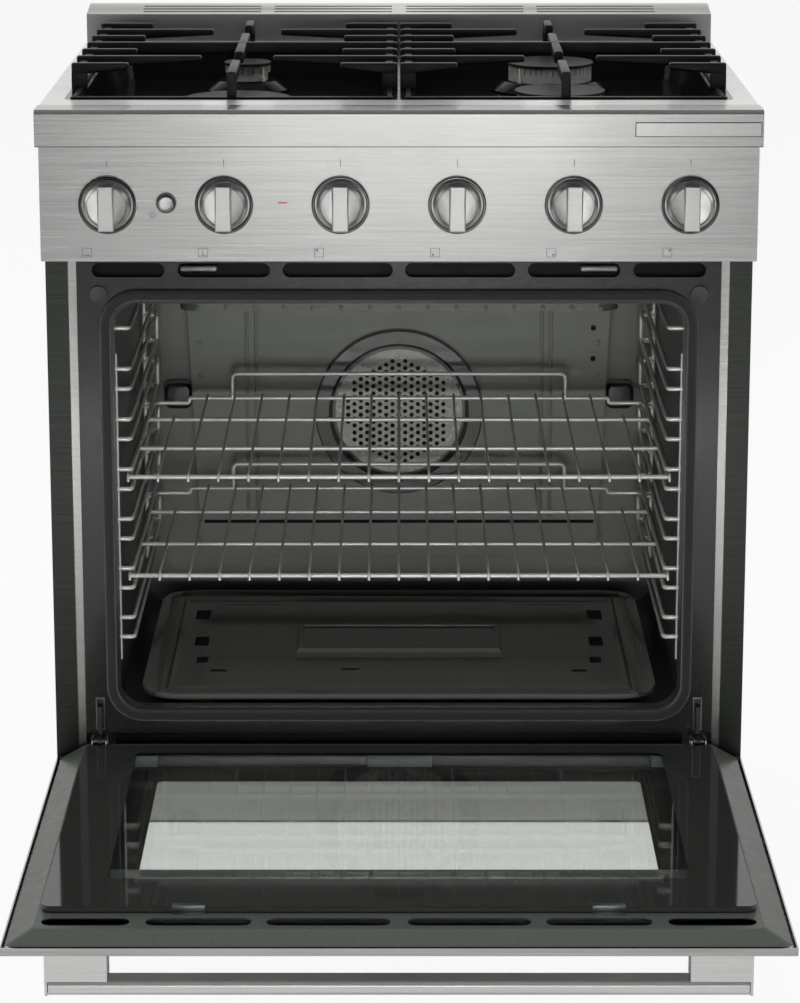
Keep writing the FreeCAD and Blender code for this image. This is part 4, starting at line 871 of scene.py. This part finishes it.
# painted shade: a black strip for the shadow under the baffle's lower edge, and two black discs for the dark inside two
# drilled holes
shade = [blockAt("fold", (-238, 238), (499.3, 500.5), (334, 338))]
for z in (540, 578):
    shade.append(drumAt("drilled", (235, 499.8, z), 3.3, 0.8, "Y", 24))
for item in shade:
    soften(item, 0.2, 1)
finishPiece(joined("baffleFold", shade), root, paintedShadeBlack)
finishPiece(joined("fanBafflePlate", [plate] + screws), root, greyEnamel, ("fan_baffle",))
# painted shade: a black disc behind the perforated disc, seen through its holes
backing = drumAt("backing", (0, 502.6, b["z"]), b["disc"] + 4, 0.8, "Y", 96)
soften(backing, 0.2)
finishPiece(backing, root, paintedShadeBlack)
finishPiece(ring, root, darkEnamel, smooth=20)
finishPiece(disc, root, paleEnamel)
print("fan baffle pressed")

# oven floor: a pressed pan with a rolled rim, two beads and a raised bridge
floorSizes = {"half": 287, "near": 78, "far": 488, "top": 248, "bridge": (97, 246, 314, 257), "spread": (128, 222, 338)}
f = floorSizes
panel = blockAt("panel", (-f["half"], f["half"]), (f["near"], f["far"]), (f["top"] - 2, f["top"] + 4))
pickFaces(panel, upward)
insetBy(0.010)
objectMode()
only(panel)
editMode()
bpy.ops.mesh.select_mode(type="EDGE")
bpy.ops.mesh.select_all(action="DESELECT")
objectMode()
for edge in panel.data.edges:      # the four upright corners
    one, two = (panel.data.vertices[i].co for i in edge.vertices)
    edge.select = abs(one.x - two.x) < 1e-6 and abs(one.y - two.y) < 1e-6
editMode()
bpy.ops.mesh.bevel(offset=0.045, segments=8, affect="EDGES")
objectMode()
pickFaces(panel, lambda face: face.normal.z > 0.9 and face.area > 0.05)
bpy.ops.transform.translate(value=(0, 0, -0.004))
insetBy(0.016, (0, 0, 0.0005))
insetBy(0.004, (0, 0, 0.003))
insetBy(0.005, (0, 0, -0.003))
insetBy(0.003)
objectMode()
holes = []
for side in (-1, 1):
    for x, depth in (((226, 243), (375, 420)), ((222, 238), (270, 312)), ((219, 232), (205, 232)),
                     ((196, 214), (172, 182)), ((145, 205), (436, 439))):
        span = sorted((side * x[0], side * x[1]))
        holes.append(blockAt("hole", span, depth, (f["top"] - 6, f["top"] + 8)))
holes.append(blockAt("hole", (-66, -45), (178, 186), (f["top"] - 6, f["top"] + 8)))
holes = joined("holes", holes)
cutOut([panel], holes)
spreadX, spreadNear, spreadFar = f["spread"]
bridgeX, bridgeNear, bridgeFar, bridgeTop = f["bridge"]
bridge = blockAt("bridge", (-spreadX, spreadX), (spreadNear, spreadFar), (f["top"] - 1.5, bridgeTop))
pickFaces(bridge, upward)
objectMode()
for vertex in bridge.data.vertices:
    if vertex.select:
        vertex.co.x = math.copysign((bridgeX + 14) / 1000, vertex.co.x)
        vertex.co.y = inFrame(0, bridgeNear - 12 if vertex.co.y < inFrame(0, 270, 0).y else bridgeFar + 12, 0).y
        vertex.co.z -= 0.0055
pickFaces(bridge, upward)
insetBy(0.011)
insetBy(0.003, (0, 0, 0.006))
insetBy(0.004, (0, 0, -0.0025))
objectMode()
soften(bridge, 1.6, 3, 6)
soften(panel, 0.8, 2, 25)
pressing = joined("ovenFloorPressing", [panel, bridge])
finishPiece(pressing, root, floorEnamel, ("oven_floor_panel",), smooth=45)
modify(pressing, "WEIGHTED_NORMAL", weight=100, keep_sharp=True)

# a row of pressed pips along the front of the broiler hood
pips = []
for index in range(-7, 8):
    pip = drumAt("pip", (index * 32, 181, 668), 2.6, 5, "Y", 16)
    soften(pip, 0.8, 2)
    pips.append(pip)
finishPiece(joined("broilerPips", pips), root, darkEnamel)
print("oven floor pressed")

# behind the panel and under the oven mouth: a cooling duct behind the vents, black as painted shade, and a sill strip
# of painted shadow
mouthSizes = {"duct": ((-330, 330), (56, 59.5), (722, 749)), "sill": ((-312, 312), (50.2, 51.4), (186, 216.6))}
duct = blockAt("duct", *mouthSizes["duct"])
soften(duct, 0.8)
sill = blockAt("sill", *mouthSizes["sill"])
soften(sill, 0.4)
finishPiece(joined("coolingDuctAndSill", [duct, sill]), root, paintedShadeBlack)
pipes = []
for side in (-1, 1):
    pipe = drumAt("pipe", (side * 214, 57.2, 736), 5, 41, "X", 32)
    soften(pipe, 2.4, 4)
    pipes.append(pipe)
finishPiece(joined("ductStays", pipes), root, galvanised, smooth=50)

# pale spacers under the inner glass, along its hinge edge
spacers = []
for low, high in ((-318, -262), (-34, 36), (274, 318)):
    spacer = blockAt("spacer", (low, high), (-16, 2), (196, 205.4))
    pickFaces(spacer, upward)
    insetBy(0.002, (0, 0, -0.0012))
    objectMode()
    soften(spacer, 0.8)
    spacers.append(spacer)
finishPiece(joined("glassSpacers", spacers), "oven_door", clipGlass)

# forks either side of each hinge arm, with a rivet head on the pivot
hinge = {"x": 328, "depth": 37.5, "z": 211.5}
forks = []
for side in (-1, 1):
    x = side * hinge["x"]
    for offset in (-7.5, 7.5):
        forks.append(blockAt("fork", (x + offset - 1, x + offset + 1), (22, 44), (205.5, 217)))
    for offset in (-8.9, 8.9):
        forks.append(drumAt("rivet", (x + offset, hinge["depth"], hinge["z"]), 4.2, 1.6, "X", 24))
for fork in forks:
    soften(fork, 0.6)
finishPiece(joined("hingeForks", forks), "oven_door", polished, smooth=40)

# a folded rim round each hinge slot in the oven frame
rims = []
for side in (-1, 1):
    x = side * hinge["x"]
    rim = blockAt("rim", (x - 5, x + 5), (48.6, 50.4), (220, 258))
    slot = blockAt("slot", (x - 3.4, x + 3.4), (45, 55), (222, 256))
    cutOut([rim], slot)
    soften(rim, 0.4)
    rims.append(rim)
finishPiece(joined("hingeSlotRims", rims), root, galvanised)

trimSizes = {"low": 875, "plate": (247, 377.5, 886.6, 900.7), "gap": 0.75}

# the fine joints where the bar meets its two end blocks
seam = {"end": 335, "near": 278.5, "far": 334.8, "face": (-474.2, -473.9), "low": 135, "top": 144.8}
caps = []
for side in (-1, 1):
    end = side * seam["end"]
    caps.append(blockAt("cap", (end - 0.3, end + 0.3), seam["face"], (seam["low"], seam["top"])))
    span = sorted((side * seam["near"], side * seam["far"]))
    caps.append(blockAt("seam", span, seam["face"], (seam["top"], seam["top"] + 0.5)))
for cap in caps:
    soften(cap, 0.1, 1)
finishPiece(joined("handleSeams", caps), "oven_door", darkSteelAndShadowLine)

# a dark strip of painted shadow along the trim's hem, and the fine gap round the bare plate let into it
lines = [blockAt("hem", (-379.4, 379.4), (-0.15, 0.1), (trimSizes["low"] + 0.1, trimSizes["low"] + 0.9))]
left, right, low, high = trimSizes["plate"]
gap = trimSizes["gap"]
for x, z in (((left - gap, right + gap), (high, high + gap)), ((left - gap, right + gap), (low - gap, low)),
             ((left - gap, left), (low, high)), ((right, right + gap), (low, high))):
    lines.append(blockAt("gap", x, (-0.35, 0.1), z))
for line in lines:
    soften(line, 0.08, 1)
finishPiece(joined("trimLines", lines), root, darkSteelAndShadowLine)

# the sheet that returns from the trim to the side panels
returns = []
for side in (-1, 1):
    fold = blockAt("fold", sorted((side * 376, side * 379.3)), (39.6, 50.4), (875.5, 912.8))
    soften(fold, 0.5)
    returns.append(fold)
finishPiece(joined("trimReturns", returns), root, stainless)

# rubber door bumpers, one in each upper corner of the frame
bumperSizes = {"x": 321, "z": 709, "radius": 9.5}
bumpers = []
for side in (-1, 1):
    bumper = drumAt("bumper", (side * bumperSizes["x"], 48.6, bumperSizes["z"]), bumperSizes["radius"], 4.4, "Y", 48)
    pickFaces(bumper, frontward)
    insetBy(0.0022, (0, 0.0008, 0))
    objectMode()
    soften(bumper, 0.7)
    bumpers.append(bumper)
finishPiece(joined("doorBumpers", bumpers), root, softRubber, smooth=30)

# the shaded cavity behind the row of door vents
shade = blockAt("shade", (-342, 342), (-481, -457), (197, 198.4))
soften(shade, 0.3, 1)
finishPiece(shade, "oven_door", paintedShadeBlack)

# spring clips on the far edge of the inner glass
clipSizes = {"tongue": ((-447.2, -441.5), (212, 212.9)), "riser": ((-448.4, -447.3), (205.2, 212.9)),
             "foot": ((-452, -447.4), (205.1, 206.1))}
clips = []
for side in (-1, 1):
    span = sorted((side * 185, side * 217))
    for part, (depth, z) in clipSizes.items():
        clips.append(blockAt(part, span, depth, z))
for item in clips:
    soften(item, 0.3)
finishPiece(joined("glassSpringClips", clips), "oven_door", galvanised, ("glass_clips",))

# crisp edges on the sheet metal
for name, body, slot, width in (("front_trim", root, "stainless", 0.5), ("trim_plate", root, "stainless", 0.25),
                                ("kick_plate", root, "stainless", 0.5), ("handle_bar", "oven_door", "stainless", 0.7),
                                ("handle_posts", "oven_door", "stainless", 0.7),
                                ("oven_lamps", root, "black_enamel", 0.6)):
    softCopy(name, camel(name) + "Dressed", body, finishOf[name], width)
# the rolled top edge of the trim turns away from the light, and gets a darker copy of the steel as painted shade
rolled = bpy.data.objects["FrontTrimDressed"].data
rolled.materials.append(edgeSteelPaintedShade)
for face in rolled.polygons:
    if face.normal.y < -0.25 and face.normal.z > 0.25:
        face.material_index = 1
print("edges dressed")

# floor, world and lights
studio = {"floorSize": 60, "floorGrey": 0.62, "floorToWhite": 0.92,
          "front": ((60, -4600, 600), (0, 0, 700), (0.62, 1.7), 13.5),
          "mouth": ((0, -2600, 290), (0, 300, 470), (1.1, 0.34), 36),
          "top": ((0, -300, 3600), (0, 100, 0), (3.2, 2.4), 70),
          "left": ((-3400, 600, 2300), (0, 200, 500), (2.6, 2.6), 32),
          "right": ((3400, 600, 2300), (0, 200, 500), (2.6, 2.6), 32),
          "rear": ((-2600, 3600, 2600), (0, 300, 500), (1.8, 1.8), 50)}


def floorPaint(name):
    material, tree = newMaterial(name)
    paint = addNode(tree, "ShaderNodeBsdfDiffuse", {"Color": (studio["floorGrey"],) * 3 + (1,)})
    white = addNode(tree, "ShaderNodeEmission", {"Color": (1, 1, 1, 1), "Strength": 1.0})
    path = addNode(tree, "ShaderNodeLightPath")
    either = mathNode(tree, "ADD", {0: path.outputs["Is Camera Ray"], 1: path.outputs["Is Transmission Ray"]})
    capped = mathNode(tree, "MINIMUM", {0: either.outputs[0]}, {1: 1.0})
    share = mathNode(tree, "MULTIPLY", {0: capped.outputs[0]}, {1: studio["floorToWhite"]})
    both = addNode(tree, "ShaderNodeMixShader", {}, {0: share.outputs[0], 1: paint.outputs[0], 2: white.outputs[0]})
    surfaceOf(tree, both)
    return material


deselect()
bpy.ops.mesh.primitive_plane_add(size=studio["floorSize"], location=(0, 0, 0))
floor = bpy.context.object
floor.name = "studioFloor"
floor.data.materials.append(floorPaint("pale studio floor"))

world = bpy.data.worlds.new("studio")
bpy.context.scene.world = world
world.use_nodes = True
sky = world.node_tree
sky.nodes.clear()
aim = addNode(sky, "ShaderNodeTexCoord")
aimParts = addNode(sky, "ShaderNodeSeparateXYZ", {}, {0: aim.outputs["Generated"]})
# reflections: dim ahead and overhead, a bright band low down at the back
ahead = addNode(sky, "ShaderNodeMapRange", {1: -0.3, 2: 0.3, 3: 0.09, 4: 0.95}, {"Value": aimParts.outputs["Y"]})
low = addNode(sky, "ShaderNodeMapRange", {1: 0.42, 2: 0.85, 3: 1.0, 4: 0.22}, {"Value": aimParts.outputs["Z"]})
aside = mathNode(sky, "ABSOLUTE", {0: aimParts.outputs["X"]})
edge = addNode(sky, "ShaderNodeMapRange", {1: 0.35, 2: 0.75, 3: 1.0, 4: 0.35}, {"Value": aside.outputs[0]})
band = mathNode(sky, "MULTIPLY", {0: ahead.outputs[0], 1: low.outputs[0]})
level = mathNode(sky, "MULTIPLY", {0: band.outputs[0], 1: edge.outputs[0]})
soft = addNode(sky, "ShaderNodeBackground", {"Color": (1, 1, 0.985, 1)}, {"Strength": level.outputs[0]})
white = addNode(sky, "ShaderNodeBackground", {"Color": (1, 1, 1, 1), "Strength": 1.0})
path = addNode(sky, "ShaderNodeLightPath")
seen = addNode(sky, "ShaderNodeMixShader", {},
               {0: path.outputs["Is Camera Ray"], 1: soft.outputs[0], 2: white.outputs[0]})
addNode(sky, "ShaderNodeOutputWorld", {}, {"Surface": seen.outputs[0]})

for name in ("front", "mouth", "top", "left", "right", "rear"):
    spot, target, size, power = studio[name]
    start, end = inFrame(*spot), inFrame(*target)
    bpy.ops.object.light_add(type="AREA", location=start)
    lamp = bpy.context.object
    lamp.name = name + "Softbox"
    lamp.data.shape = "RECTANGLE"
    lamp.data.size, lamp.data.size_y = size
    lamp.data.energy = power
    lamp.visible_camera = False
    lamp.visible_glossy = name not in ("mouth", "rear", "top")      # these lift shaded faces without a mirrored patch
    lamp.rotation_euler = (end - start).to_track_quat("-Z", "Y").to_euler()
print("studio ready")
